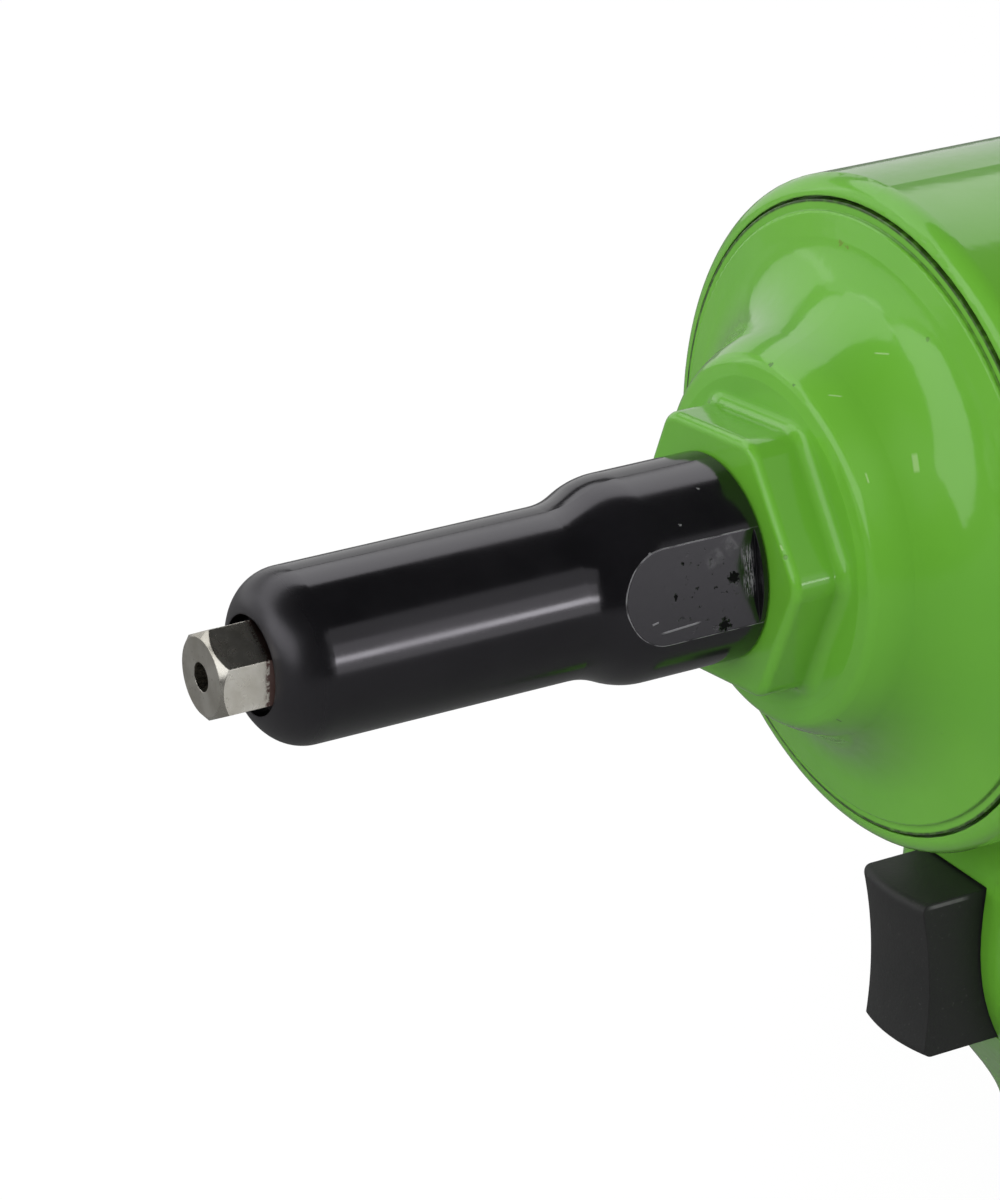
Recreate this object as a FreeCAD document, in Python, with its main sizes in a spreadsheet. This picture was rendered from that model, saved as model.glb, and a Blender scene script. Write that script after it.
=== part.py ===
import FreeCAD, Part
import math
import os

import Sketcher

# All-pneumatic blind riveter with a horizontal twin-piston cylinder, in millimetres.
# The origin is the centre of the nosepiece's front face. +X points out of the nose,
# +Z is up, and the handle hangs down. Stations along the tool axis are negative X.

os.makedirs("parts", exist_ok=True)
doc = FreeCAD.newDocument("Riveter")

DRIVING = [
    # Cuts and clearances
    ("overcut", 1.0, "reach of a cut past the surface that it opens"),
    ("thread_gap", 0.1, "radial gap of a screwed joint"),
    ("running_gap", 0.05, "radial gap of a sliding shaft"),
    ("free_gap", 0.3, "gap between pieces that move past each other"),
    ("seal_gap", 0.06, "gap between a seal and the wall it wipes"),
    ("groove_gap", 0.1, "play of a ring in its groove"),
    # Nosepiece
    ("nose_bore", 1.75, "radius of the hole for the rivet's mandrel"),
    ("nose_face", 4.7, "radius of the flat front disc"),
    ("nose_hex", 10.0, "across the flats"),
    ("nose_hex_chamfer", 1.0, "length of the cone between disc and corners"),
    ("nose_hex_turn", 27.5, "angle of a hexagon corner from +Y towards +Z"),
    ("nose_reach", 6.3, "nosepiece in front of the barrel"),
    ("nose_thread", 4.5, "radius of the screwed neck"),
    ("nose_thread_length", 5.0, ""),
    ("nose_tail_length", 6.5, "cone that holds the jaws open"),
    ("nose_tail_end", 2.4, "radius of the cone's tip"),
    # Nose barrel
    ("barrel_radius", 10.5, "radius of the straight front"),
    ("barrel_corner", 5.8, "rounding of the front edge"),
    ("barrel_mouth", 0.2, "gap around the nosepiece's corners"),
    ("barrel_face", 0.15, "width of the flat front ring"),
    ("barrel_seat", 2.2, "depth of the counterbore"),
    ("barrel_wall", 4.5, "length of the screwed front wall"),
    ("barrel_bore", 8.0, "radius of the room for the jaw case"),
    ("barrel_straight", 39.2, "front face to the start of the flare"),
    ("barrel_flare", 9.5, "length of the flare"),
    ("barrel_rear", 12.74, "radius behind the flare"),
    ("barrel_rear_length", 13.5, "end of the flare to the shoulder"),
    ("barrel_ring", 1.0, "full round ring behind the wrench flats"),
    ("barrel_edge", 0.4, "chamfer at the shoulder"),
    ("wrench_flats", 22.7, "across the two flats"),
    ("wrench_turn", 9.0, "angle of the near flat from +Y towards +Z"),
    ("barrel_spigot", 9.9, "radius of the screwed end"),
    ("barrel_spigot_length", 11.0, ""),
    # Jaw case, jaws, pusher and jaw spring
    ("case_play", 0.4, "between jaw case and barrel"),
    ("case_offset", 4.0, "barrel's front wall to the jaw case"),
    ("case_mouth", 4.2, "radius of the taper's mouth"),
    ("case_taper", 8.0, "half angle of the taper in degrees"),
    ("case_taper_length", 16.0, ""),
    ("case_cup_length", 9.0, "straight room behind the taper"),
    ("case_edge", 0.8, "chamfer of the front edge"),
    ("rod_thread_length", 8.0, "jaw case screwed on the pull rod"),
    ("jaw_offset", 2.0, "case mouth to the jaws"),
    ("jaw_length", 11.0, ""),
    ("jaw_bore", 1.85, "radius at the tips of the teeth, jaws open"),
    ("jaw_gap", 0.25, "between jaw and taper, jaws open"),
    ("jaw_sector", 100.0, "angle that one jaw fills"),
    ("jaw_bevel", 3.2, "radius of the jaw's front bevel"),
    ("jaw_bevel_length", 2.6, ""),
    ("jaw_tooth_pitch", 1.2, ""),
    ("jaw_tooth_depth", 0.35, ""),
    ("pusher_radius", 5.4, ""),
    ("pusher_flange", 3.0, "length of the wide front"),
    ("pusher_neck", 4.1, "radius of the neck inside the spring"),
    ("pusher_neck_length", 3.2, ""),
    ("pusher_bore", 2.2, ""),
    ("jaw_spring_wire", 0.9, "diameter"),
    ("jaw_spring_radius", 5.1, "mean radius of the coil"),
    ("jaw_spring_turns", 4.0, ""),
    # Pull rod
    ("rod_neck", 6.0, "radius of the screwed front end"),
    ("rod_radius", 7.0, "radius in front of the pistons"),
    ("rod_piston_radius", 6.0, "radius inside the pistons"),
    ("rod_tail_radius", 5.5, "radius of the tail"),
    ("rod_tail_length", 38.0, "piston nut to the end of the tail"),
    ("rod_bore", 3.2, "radius of the way for spent mandrels"),
    ("rod_funnel", 0.8, "widening of the bore at the front"),
    ("rod_step", 1.5, "depth of the shoulder inside the front piston"),
    # Front cap
    ("hub_hex", 32.0, "across the flats"),
    ("hub_corner", 3.6, "rounding of the hexagon's corners"),
    ("hub_edge", 1.1, "rounding of the hexagon's front edge"),
    ("hub_turn", 6.0, "angle of a hexagon corner from +Y towards +Z"),
    ("hub_length", 7.1, ""),
    ("hub_fillet", 1.6, "rounding at the hexagon's foot"),
    ("shoulder_flat", 20.4, "radius of the flat around the hexagon"),
    ("shoulder_slope", 21.9, "radius where the shoulder starts to round"),
    ("shoulder_drop", 0.3, "fall of the shoulder to there"),
    ("shoulder_round", 2.0, "tight rounding of the shoulder's rim"),
    ("shoulder_rim", 23.05, "radius where the tight rounding ends"),
    ("shoulder_rim_drop", 1.05, ""),
    ("shoulder_bow", 14.0, "easy rounding from there to the hollow curve"),
    ("flare_radius", 12.5, "hollow curve from the shoulder to the disc"),
    ("flare_start", 25.0, "radius where the curve starts"),
    ("flare_start_drop", 4.9, "its start behind the hexagon's foot"),
    ("flare_end", 35.0, "radius where the curve meets the disc"),
    ("flare_end_drop", 12.9, ""),
    ("cap_reach", 21.5, "hexagon's face to the housing's lip"),
    ("cap_proud", 0.9, "disc in front of the housing's lip"),
    ("cap_disc", 38.0, "radius of the raised disc"),
    ("cap_edge", 0.3, "rounding of the disc's edge"),
    ("cap_step", 0.6, "height of the disc above the rim around it"),
    ("cap_rim", 39.3, "radius of that rim, which lies in the housing's mouth"),
    ("cap_thread", 38.1, "radius of the screwed part"),
    ("cap_thread_length", 9.0, ""),
    ("cap_spigot_length", 6.0, ""),
    ("cap_wall", 4.0, "lip to the floor of the recess behind the disc"),
    ("cap_recess", 31.0, "outer radius of that recess"),
    ("cap_boss", 13.0, "radius of the boss around the pull rod"),
    ("barrel_socket", 11.5, "depth of the screwed hole for the barrel"),
    ("rod_seal_place", 21.5, "hexagon's face to the rod seal"),
    # Seals
    ("seal_width", 2.4, ""),
    ("seal_depth", 2.0, ""),
    ("piston_seal_width", 3.6, ""),
    ("piston_seal_depth", 3.0, ""),
    # Housing
    ("housing_radius", 42.14, ""),
    ("lip_round", 2.5, "rounding of the cylinder's two ends"),
    ("mouth_radius", 39.7, "radius of the room for the caps' rims"),
    ("mouth_depth", 2.0, ""),
    ("front_bore", 35.5, "radius of the front cylinder"),
    ("rear_bore", 36.1, "radius of the rear cylinder"),
    ("stroke", 16.0, ""),
    ("piston_park", 1.5, "front cap to the piston at rest"),
    ("end_gap", 4.5, "left behind a piston at full stroke"),
    ("piston_thickness", 12.0, ""),
    ("piston_skirt", 3.0, "thinning of the piston's rear face"),
    ("piston_hub", 12.0, "radius of the piston's hub"),
    ("piston_rim", 28.0, "radius inside the piston's rim"),
    ("partition_thickness", 12.0, ""),
    ("ring_thickness", 2.0, "retaining ring"),
    ("ring_groove", 1.6, "depth of its groove"),
    ("ring_inner", 31.0, "inner radius of the retaining ring"),
    ("ring_opening", 24.0, "angle of the retaining ring's gap"),
    ("spacer_radius", 9.0, "sleeve between the pistons"),
    ("nut_height", 7.0, ""),
    ("nut_hex", 19.0, "across the flats"),
    ("nut_chamfer", 1.0, "length of the chamfer at the corners"),
    # Return spring
    ("spring_wire", 3.0, "diameter"),
    ("spring_radius", 19.0, "mean radius of the coil"),
    ("spring_turns", 5.0, ""),
    # Rear cap
    ("rear_spigot_length", 8.0, ""),
    ("rear_reach", 12.0, "housing to the rear cap's shoulder"),
    ("rear_shoulder", 29.0, "radius of the rear cap's shoulder"),
    ("rear_round", 2.0, "rounding of that shoulder"),
    ("rear_hex", 46.0, "across the flats"),
    ("rear_hex_length", 5.0, ""),
    ("rear_boss", 20.0, "radius of the screwed boss for the collector"),
    ("rear_boss_length", 8.0, ""),
    ("spring_room", 24.0, "radius of the room for the return spring"),
    ("spring_room_length", 23.0, ""),
    ("guide_radius", 11.0, "radius of the guide for the rod's tail"),
    ("guide_setback", 6.0, "guide behind the spigot's front"),
    # Mandrel collector
    ("collector_radius", 26.5, ""),
    ("collector_wall", 2.5, ""),
    ("collector_length", 56.0, ""),
    ("collector_round", 7.0, "rounding of the closed end"),
    ("collector_grip_length", 15.0, "fluted part at the mouth"),
    ("flute_width", 3.6, "width of a flute's floor"),
    ("flute_depth", 0.9, ""),
    ("flute_count", 18, ""),
    # Handle
    ("handle_front", 105.4, "axis station of its front, at the trigger's top"),
    ("handle_lean", 11.0, "degrees that it leans back"),
    ("handle_flat", 8.5, "half width of its flat front"),
    ("handle_root", 28.0, "depth of the top section below the axis"),
    ("handle_neck", 54.0, "depth of the neck section"),
    ("handle_ledge", 76.0, "depth of the section under the trigger"),
    ("handle_finger", 94.0, "depth of the section behind the fingers"),
    ("handle_palm", 116.0, "depth of the palm section"),
    ("handle_heel", 142.0, "depth of the heel section"),
    ("handle_foot", 168.0, "depth of the handle's bottom"),
    ("root_depth", 60.0, "front to back"),
    ("root_half", 16.5, "half width"),
    ("neck_depth", 48.0, ""),
    ("neck_half", 15.5, ""),
    ("ledge_depth", 43.4, ""),
    ("ledge_setback", 0.2, "behind the straight line of the front"),
    ("finger_depth", 33.5, ""),
    ("finger_setback", 9.0, ""),
    ("palm_depth", 36.5, ""),
    ("palm_setback", 6.5, ""),
    ("palm_half", 15.8, ""),
    ("heel_depth", 43.0, ""),
    ("heel_setback", 2.5, ""),
    ("heel_half", 16.0, ""),
    ("foot_depth", 48.5, ""),
    ("foot_half", 17.5, ""),
    ("handle_fillet", 7.0, "rounding where it meets the cylinder"),
    ("handle_back", 12.0, "rounding of its rear corners"),
    # Trigger
    ("trigger_top", 51.7, "below the axis"),
    ("trigger_height", 22.0, ""),
    ("trigger_half", 6.7, "half width"),
    ("trigger_front", 96.4, "axis station of its front, at the top"),
    ("trigger_back", 114.0, "axis station of its rear"),
    ("trigger_lower_back", 1.1, "fall of its front from top to bottom"),
    ("trigger_hollow", 60.0, "radius of the finger hollow"),
    ("trigger_crown", 24.0, "radius of its front across the finger"),
    ("trigger_edge", 1.1, "rounding of the front edges"),
    ("trigger_travel", 4.5, ""),
    ("pocket_back", 119.5, "axis station of the pocket's floor"),
    # Valve
    ("valve_drop", 62.5, "below the axis"),
    ("stem_radius", 2.5, ""),
    ("stem_neck", 1.9, "radius of the stem's neck at the seal"),
    ("stem_cone", 1.0, "length of the cone to the neck"),
    ("stem_grip", 6.0, "length held in the trigger"),
    ("bushing_radius", 6.0, ""),
    ("bushing_length", 14.0, ""),
    ("bushing_guide", 8.0, "length of the bushing's guide bore"),
    ("bushing_room", 3.8, "radius of the air room in the bushing"),
    ("poppet_radius", 4.4, ""),
    ("poppet_length", 2.6, ""),
    ("poppet_tail", 1.9, "radius of the tail in the spring"),
    ("poppet_tail_length", 2.2, ""),
    ("poppet_seal", 1.0, "thickness of the seal in front of the poppet"),
    ("valve_room", 5.0, "radius of the room behind the bushing"),
    ("valve_room_length", 12.5, ""),
    ("valve_spring_wire", 0.7, "diameter"),
    ("valve_spring_radius", 3.0, "mean radius of the coil"),
    ("valve_spring_turns", 4.0, ""),
    # Handle base, air inlet, muffler and screws
    ("inlet_place", 140.0, "axis station of the air inlet"),
    ("inlet_passage", 4.5, "radius of the air way in the handle"),
    ("inlet_neck", 8.5, "radius of the screwed neck"),
    ("inlet_neck_length", 16.0, "above the hexagon"),
    ("inlet_hex", 21.0, "across the flats"),
    ("inlet_hex_length", 8.0, ""),
    ("inlet_hex_chamfer", 1.0, "length of the chamfer at the corners"),
    ("inlet_bore", 5.73, "radius of the thread's core for the hose fitting"),
    ("inlet_bore_length", 12.0, ""),
    ("inlet_chamfer", 1.0, "entry chamfer"),
    ("muffler_place", 159.0, "axis station of the muffler"),
    ("muffler_radius", 7.0, ""),
    ("muffler_length", 16.0, ""),
    ("muffler_room", 18.0, "depth of the exhaust chamber"),
    ("muffler_play", 0.2, "around the muffler"),
    ("base_thickness", 7.0, ""),
    ("base_edge", 1.2, "chamfer of the base's lower edge"),
    ("slot_width", 1.8, "exhaust slots"),
    ("slot_length", 9.0, ""),
    ("slot_pitch", 3.6, ""),
    ("slot_count", 3, ""),
    ("screw_place", 151.0, "axis station of the base screws"),
    ("screw_side", 12.0, "half distance between them"),
    ("screw_shank", 2.0, "radius"),
    ("screw_length", 14.0, "under the head"),
    ("screw_head", 3.5, "radius"),
    ("screw_head_height", 4.0, ""),
    ("screw_socket", 3.0, "across the flats"),
    ("screw_socket_depth", 2.0, ""),
]

JAW_COUNT = 3
TOUCH = 0.001
EDGE_SPOTS = 9

sheet = doc.addObject("Spreadsheet::Sheet", "Sizes")


# A dimension with both its value and the formula that ties it to the sheet

class Size:
    def __init__(self, value, formula):
        self.value = float(value)
        self.formula = formula

    def __add__(self, other):
        other = as_size(other)
        return Size(self.value + other.value, "(%s + %s)" % (self.formula, other.formula))

    def __sub__(self, other):
        other = as_size(other)
        return Size(self.value - other.value, "(%s - %s)" % (self.formula, other.formula))

    def __mul__(self, other):
        other = as_size(other)
        return Size(self.value * other.value, "(%s * %s)" % (self.formula, other.formula))

    def __truediv__(self, other):
        other = as_size(other)
        return Size(self.value / other.value, "(%s / %s)" % (self.formula, other.formula))

    def __radd__(self, other):
        return as_size(other) + self

    def __rsub__(self, other):
        return as_size(other) - self

    def __rmul__(self, other):
        return as_size(other) * self

    def __neg__(self):
        return Size(-self.value, "(-1 * %s)" % self.formula)


def as_size(number):
    if isinstance(number, Size):
        return number
    return Size(number, repr(number))


def sine(angle):
    return Size(math.sin(math.radians(angle.value)), "sin(%s)" % angle.formula)


def cosine(angle):
    return Size(math.cos(math.radians(angle.value)), "cos(%s)" % angle.formula)


def tangent(angle):
    return Size(math.tan(math.radians(angle.value)), "tan(%s)" % angle.formula)


def square_root(number):
    return Size(math.sqrt(number.value), "sqrt(%s)" % number.formula)


class Dimensions:
    pass


S = Dimensions()
for row, (alias, value, note) in enumerate(DRIVING, start=1):
    sheet.set("A%d" % row, alias)
    sheet.set("B%d" % row, str(value))
    sheet.set("C%d" % row, note)
    sheet.setAlias("B%d" % row, alias)
    setattr(S, alias, Size(value, "Sizes." + alias))
doc.recompute()

NO_SIZE = Size(0, "0")
FULL_TURN = Size(360, "360")
HALF_SIXTH = Size(30, "30")


# Sketch outlines: corners are (x, y) pairs, and a bend between two corners is an arc

class Bend:
    def __init__(self, radius, side):
        self.radius = as_size(radius)
        self.side = side


class Round:
    def __init__(self, x, y, radius):
        self.x = as_size(x)
        self.y = as_size(y)
        self.radius = as_size(radius)


def left(radius):
    return Bend(radius, 1)


def right(radius):
    return Bend(radius, -1)


def is_zero(size):
    return size.formula in ("0", "0.0")


def place_point(sketch, geometry, position, x, y):
    if is_zero(x):
        sketch.addConstraint(Sketcher.Constraint("PointOnObject", geometry, position, -2))
    else:
        fix = Sketcher.Constraint("DistanceX", -1, 1, geometry, position, x.value)
        sketch.setExpression("Constraints[%d]" % sketch.addConstraint(fix), x.formula)
    if is_zero(y):
        sketch.addConstraint(Sketcher.Constraint("PointOnObject", geometry, position, -1))
    else:
        fix = Sketcher.Constraint("DistanceY", -1, 1, geometry, position, y.value)
        sketch.setExpression("Constraints[%d]" % sketch.addConstraint(fix), y.formula)


def set_radius(sketch, geometry, radius):
    fix = Sketcher.Constraint("Radius", geometry, radius.value)
    sketch.setExpression("Constraints[%d]" % sketch.addConstraint(fix), radius.formula)


def arc_between(start, end, bend):
    chord = end - start
    half = chord.Length / 2
    rise = math.sqrt(max(bend.radius.value ** 2 - half ** 2, 0.0))
    normal = FreeCAD.Vector(-chord.y, chord.x, 0).normalize()
    centre = (start + end) / 2 + normal * rise * bend.side
    circle = Part.Circle(centre, FreeCAD.Vector(0, 0, 1), bend.radius.value)
    first, last = (start, end) if bend.side > 0 else (end, start)
    first_angle = math.atan2(first.y - centre.y, first.x - centre.x)
    last_angle = math.atan2(last.y - centre.y, last.x - centre.x)
    return Part.ArcOfCircle(circle, first_angle, last_angle)


def draw_loop(sketch, path):
    corners = []
    bends = {}
    for item in path:
        if isinstance(item, Bend):
            bends[len(corners) - 1] = item
        else:
            corners.append((as_size(item[0]), as_size(item[1])))
    spots = [FreeCAD.Vector(x.value, y.value, 0) for x, y in corners]
    pieces = []
    for index, start in enumerate(spots):
        end = spots[(index + 1) % len(spots)]
        bend = bends.get(index)
        if bend is None:
            pieces.append((sketch.addGeometry(Part.LineSegment(start, end), False), 1, 2))
            continue
        ends = (1, 2) if bend.side > 0 else (2, 1)
        pieces.append((sketch.addGeometry(arc_between(start, end, bend), False),) + ends)
    for index, (geometry, first, last) in enumerate(pieces):
        following = pieces[(index + 1) % len(pieces)]
        join = Sketcher.Constraint("Coincident", geometry, last, following[0], following[1])
        sketch.addConstraint(join)
    for index, (geometry, first, last) in enumerate(pieces):
        place_point(sketch, geometry, first, corners[index][0], corners[index][1])
        if index in bends:
            set_radius(sketch, geometry, bends[index].radius)


def draw_round(sketch, item):
    centre = FreeCAD.Vector(item.x.value, item.y.value, 0)
    circle = Part.Circle(centre, FreeCAD.Vector(0, 0, 1), item.radius.value)
    geometry = sketch.addGeometry(circle, False)
    place_point(sketch, geometry, 3, item.x, item.y)
    set_radius(sketch, geometry, item.radius)


def new_body(label):
    body = doc.addObject("PartDesign::Body", label)
    body.Label = label
    return body


def new_sketch(body, name, plane, *loops, lift=None, shift=None, turn=None):
    sketch = body.newObject("Sketcher::SketchObject", body.Name + "_" + name)
    for feature in body.Origin.OriginFeatures:
        if feature.Role == plane:
            sketch.AttachmentSupport = (feature, [""])
    sketch.MapMode = "FlatFace"
    if lift is not None:
        sketch.setExpression("AttachmentOffset.Base.z", lift.formula)
    if shift is not None:
        sketch.setExpression("AttachmentOffset.Base.x", shift.formula)
    if turn is not None:
        sketch.setExpression("AttachmentOffset.Rotation.Angle", turn.formula)
    for loop in loops:
        if isinstance(loop, Round):
            draw_round(sketch, loop)
        else:
            draw_loop(sketch, loop)
    return sketch


def spin(body, sketch, axis="H_Axis", angle=None):
    feature = body.newObject("PartDesign::Revolution", sketch.Name + "_turned")
    feature.Profile = sketch
    feature.ReferenceAxis = (sketch, [axis])
    feature.Angle = 360
    if angle is not None:
        feature.Midplane = True
        feature.setExpression("Angle", angle.formula)
    return feature


def spin_cut(body, sketch, axis="H_Axis"):
    feature = body.newObject("PartDesign::Groove", sketch.Name + "_cut")
    feature.Profile = sketch
    feature.ReferenceAxis = (sketch, [axis])
    feature.Angle = 360
    return feature


def pad(body, sketch, length, both_sides=False, downwards=False):
    feature = body.newObject("PartDesign::Pad", sketch.Name + "_pad")
    feature.Profile = sketch
    feature.Midplane = both_sides
    feature.Reversed = downwards
    feature.setExpression("Length", as_size(length).formula)
    return feature


def pocket(body, sketch, length, both_sides=False, forwards=False):
    feature = body.newObject("PartDesign::Pocket", sketch.Name + "_pocket")
    feature.Profile = sketch
    feature.Midplane = both_sides
    feature.Reversed = forwards
    feature.setExpression("Length", as_size(length).formula)
    return feature


def round_edges(body, name, radius, wanted, kind="PartDesign::Fillet", prop="Radius"):
    doc.recompute()
    base = body.Tip
    names = ["Edge%d" % (index + 1) for index, edge in enumerate(base.Shape.Edges) if wanted(edge)]
    feature = body.newObject(kind, body.Name + "_" + name)
    feature.Base = (base, names)
    feature.setExpression(prop, radius.formula)
    return feature


def turned_part(label, *loops):
    body = new_body(label)
    spin(body, new_sketch(body, "profile", "XZ_Plane", *loops))
    return body


def hexagon(flats):
    half = flats / 2
    side = half * tangent(HALF_SIXTH)
    corner = side * 2
    return [(corner, 0), (side, half), (-side, half), (-corner, 0), (-side, -half), (side, -half)]


def cut_hexagon(body, name, flats, around, lift, length, turn):
    sketch = new_sketch(body, name, "YZ_Plane", Round(0, 0, around), hexagon(flats),
                        lift=lift, turn=turn)
    return pocket(body, sketch, length)


def seal_ring(label, front, width, inner, outer):
    return turned_part(label, [(front, inner), (front, outer), (front - width, outer),
                               (front - width, inner)])


# A spring of half turns, each a circular arc in a plane that leans with the pitch

def coil(label, front, rear, radius, wire, turns):
    start = front.value - wire.value / 2
    half_turns = int(round(turns.value * 2))
    rise = (rear.value + wire.value / 2 - start) / half_turns
    solid = None
    for index in range(half_turns):
        side = 1 if index % 2 == 0 else -1
        first = FreeCAD.Vector(start + rise * index, side * radius.value, 0)
        last = FreeCAD.Vector(start + rise * (index + 1), -side * radius.value, 0)
        axis = (last - first).cross(FreeCAD.Vector(0, 0, side))
        section = Part.Circle(first, FreeCAD.Vector(0, 0, 1), wire.value / 2).toShape()
        face = Part.Face(Part.Wire(section))
        turn = face.revolve((first + last) / 2, -axis, 180)
        solid = turn if solid is None else solid.fuse(turn)
    spring = doc.addObject("Part::Feature", label)
    spring.Label = label
    spring.Shape = solid
    return spring


# Stations along the tool axis, from the nose to the rear

barrel_front = -S.nose_reach
nose_seat = barrel_front - S.barrel_seat
nose_neck_end = nose_seat - S.nose_thread_length
nose_tail_tip = nose_neck_end - S.nose_tail_length
barrel_wall_end = nose_seat - S.barrel_wall
flare_front = barrel_front - S.barrel_straight
flare_middle = flare_front - S.barrel_flare / 2
flare_rear = flare_front - S.barrel_flare
hub_face = flare_rear - S.barrel_rear_length
barrel_end = hub_face - S.barrel_spigot_length

case_front = barrel_wall_end - S.case_offset
case_taper_end = case_front - S.case_taper_length
rod_front = case_taper_end - S.case_cup_length
case_rear = rod_front - S.rod_thread_length
jaw_front = case_front - S.jaw_offset
jaw_rear = jaw_front - S.jaw_length
pusher_front = jaw_rear - S.free_gap
pusher_shoulder = pusher_front - S.pusher_flange

hub_foot = hub_face - S.hub_length
lip = hub_face - S.cap_reach
cap_front = lip + S.cap_proud
cap_shoulder = lip - S.mouth_depth - S.cap_thread_length
cap_rear = cap_shoulder - S.cap_spigot_length
cap_floor = lip - S.cap_wall
rod_seal_front = hub_face - S.rod_seal_place

front_piston_face = cap_rear - S.piston_park
rod_shoulder = front_piston_face - S.rod_step
front_piston_rear = front_piston_face - S.piston_thickness
partition_front = front_piston_rear - S.stroke - S.end_gap
partition_rear = partition_front - S.partition_thickness
ring_rear = partition_rear - S.ring_thickness
rear_piston_face = ring_rear - S.piston_park
rear_piston_rear = rear_piston_face - S.piston_thickness
nut_rear = rear_piston_rear - S.nut_height
rod_end = nut_rear - S.rod_tail_length

rear_cap_face = rear_piston_rear - S.stroke - S.end_gap
rear_cap_shoulder = rear_cap_face - S.rear_spigot_length
housing_rear = rear_cap_shoulder - S.cap_thread_length - S.mouth_depth
rear_flat = housing_rear - S.rear_reach
rear_hex_end = rear_flat - S.rear_hex_length
rear_end = rear_hex_end - S.rear_boss_length
spring_floor = rear_cap_face - S.spring_room_length
guide_front = rear_cap_face - S.guide_setback
collector_mouth = rear_hex_end - S.free_gap
collector_end = collector_mouth - S.collector_length

# Radii that follow from a fit

nose_hole = S.nose_thread + S.thread_gap
nose_corner = S.nose_hex / 2 / cosine(HALF_SIXTH)
barrel_hole = S.barrel_spigot + S.thread_gap
case_radius = S.barrel_bore - S.case_play
cap_hole = S.cap_thread + S.thread_gap
front_spigot = S.front_bore - S.thread_gap
rear_spigot = S.rear_bore - S.thread_gap
rod_hole = S.rod_radius + S.running_gap
tail_hole = S.rod_tail_radius + S.running_gap
spacer_hole = S.spacer_radius + S.running_gap
piston_hole = S.rod_piston_radius + S.thread_gap
taper_rise = S.case_taper_length * tangent(S.case_taper)
case_cup = S.case_mouth + taper_rise


# Nose: the nosepiece and the barrel that holds it

def make_nosepiece():
    body = new_body("nosepiece")
    spin(body, new_sketch(body, "profile", "XZ_Plane", [
        (0, S.nose_bore),
        (0, S.nose_face),
        (-S.nose_hex_chamfer, nose_corner),
        (nose_seat, nose_corner),
        (nose_seat, S.nose_thread),
        (nose_neck_end, S.nose_thread),
        (nose_tail_tip, S.nose_tail_end),
        (nose_tail_tip, S.nose_bore),
    ]))
    cut_hexagon(body, "hexagon", S.nose_hex, nose_corner + S.overcut, NO_SIZE, -nose_seat,
                S.nose_hex_turn)
    return body


def make_nose_barrel():
    body = new_body("nose_barrel")
    mouth = nose_corner + S.barrel_mouth
    face = mouth + S.barrel_face
    fall = S.barrel_radius - face
    rise = (S.barrel_rear - S.barrel_radius) / 2
    half = S.barrel_flare / 2
    flare = (half * half + rise * rise) / (2 * rise)
    spin(body, new_sketch(body, "profile", "XZ_Plane", [
        (barrel_front, mouth),
        (barrel_front, face),
        left(S.barrel_corner),
        (barrel_front - square_root(S.barrel_corner * fall * 2 - fall * fall), S.barrel_radius),
        (flare_front, S.barrel_radius),
        right(flare),
        (flare_middle, S.barrel_radius + rise),
        left(flare),
        (flare_rear, S.barrel_rear),
        (hub_face + S.barrel_edge, S.barrel_rear),
        (hub_face, S.barrel_rear - S.barrel_edge),
        (hub_face, S.barrel_spigot),
        (barrel_end, S.barrel_spigot),
        (barrel_end, S.barrel_bore),
        (barrel_wall_end, S.barrel_bore),
        (barrel_wall_end, nose_hole),
        (nose_seat, nose_hole),
        (nose_seat, mouth),
    ]))
    near = S.wrench_flats / 2
    far = S.barrel_rear + S.overcut
    wide = S.barrel_rear
    flats = new_sketch(body, "wrench_flats", "YZ_Plane",
                       [(near, wide), (far, wide), (far, -wide), (near, -wide)],
                       [(-near, wide), (-far, wide), (-far, -wide), (-near, -wide)],
                       lift=hub_face + S.barrel_ring, turn=S.wrench_turn)
    pocket(body, flats, S.barrel_rear_length + S.barrel_flare, forwards=True)
    return body


# Collet: three jaws in the taper of the jaw case, pushed forwards by a spring

def make_jaw_case():
    return turned_part("jaw_case", [
        (case_front, S.case_mouth),
        (case_front, case_radius - S.case_edge),
        (case_front - S.case_edge, case_radius),
        (case_rear, case_radius),
        (case_rear, S.rod_neck + S.thread_gap),
        (rod_front, S.rod_neck + S.thread_gap),
        (rod_front, case_cup),
        (case_taper_end, case_cup),
    ])


def jaw_outer(station):
    across = S.jaw_gap / cosine(S.case_taper)
    return S.case_mouth + (case_front - station) * tangent(S.case_taper) - across


def make_jaw(index):
    body = new_body("jaw_%d" % (index + 1))
    teeth = []
    tooth_start = jaw_front - S.jaw_bevel_length
    room = S.jaw_length.value - S.jaw_bevel_length.value
    for tooth in range(int(room / S.jaw_tooth_pitch.value)):
        tip = tooth_start - S.jaw_tooth_pitch * tooth
        teeth.append((tip, S.jaw_bore))
        teeth.append((tip - S.jaw_tooth_pitch / 2, S.jaw_bore + S.jaw_tooth_depth))
    profile = [(jaw_rear, jaw_outer(jaw_rear)), (jaw_front, jaw_outer(jaw_front)),
               (jaw_front, S.jaw_bevel)] + teeth + [(jaw_rear, S.jaw_bore)]
    spin(body, new_sketch(body, "profile", "XZ_Plane", profile), angle=S.jaw_sector)
    turn = FreeCAD.Rotation(FreeCAD.Vector(1, 0, 0), FULL_TURN.value / JAW_COUNT * index)
    body.Placement = FreeCAD.Placement(FreeCAD.Vector(0, 0, 0), turn)
    return body


def make_jaw_pusher():
    return turned_part("jaw_pusher", [
        (pusher_front, S.pusher_bore),
        (pusher_front, S.pusher_radius),
        (pusher_shoulder, S.pusher_radius),
        (pusher_shoulder, S.pusher_neck),
        (pusher_shoulder - S.pusher_neck_length, S.pusher_neck),
        (pusher_shoulder - S.pusher_neck_length, S.pusher_bore),
    ])


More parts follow.
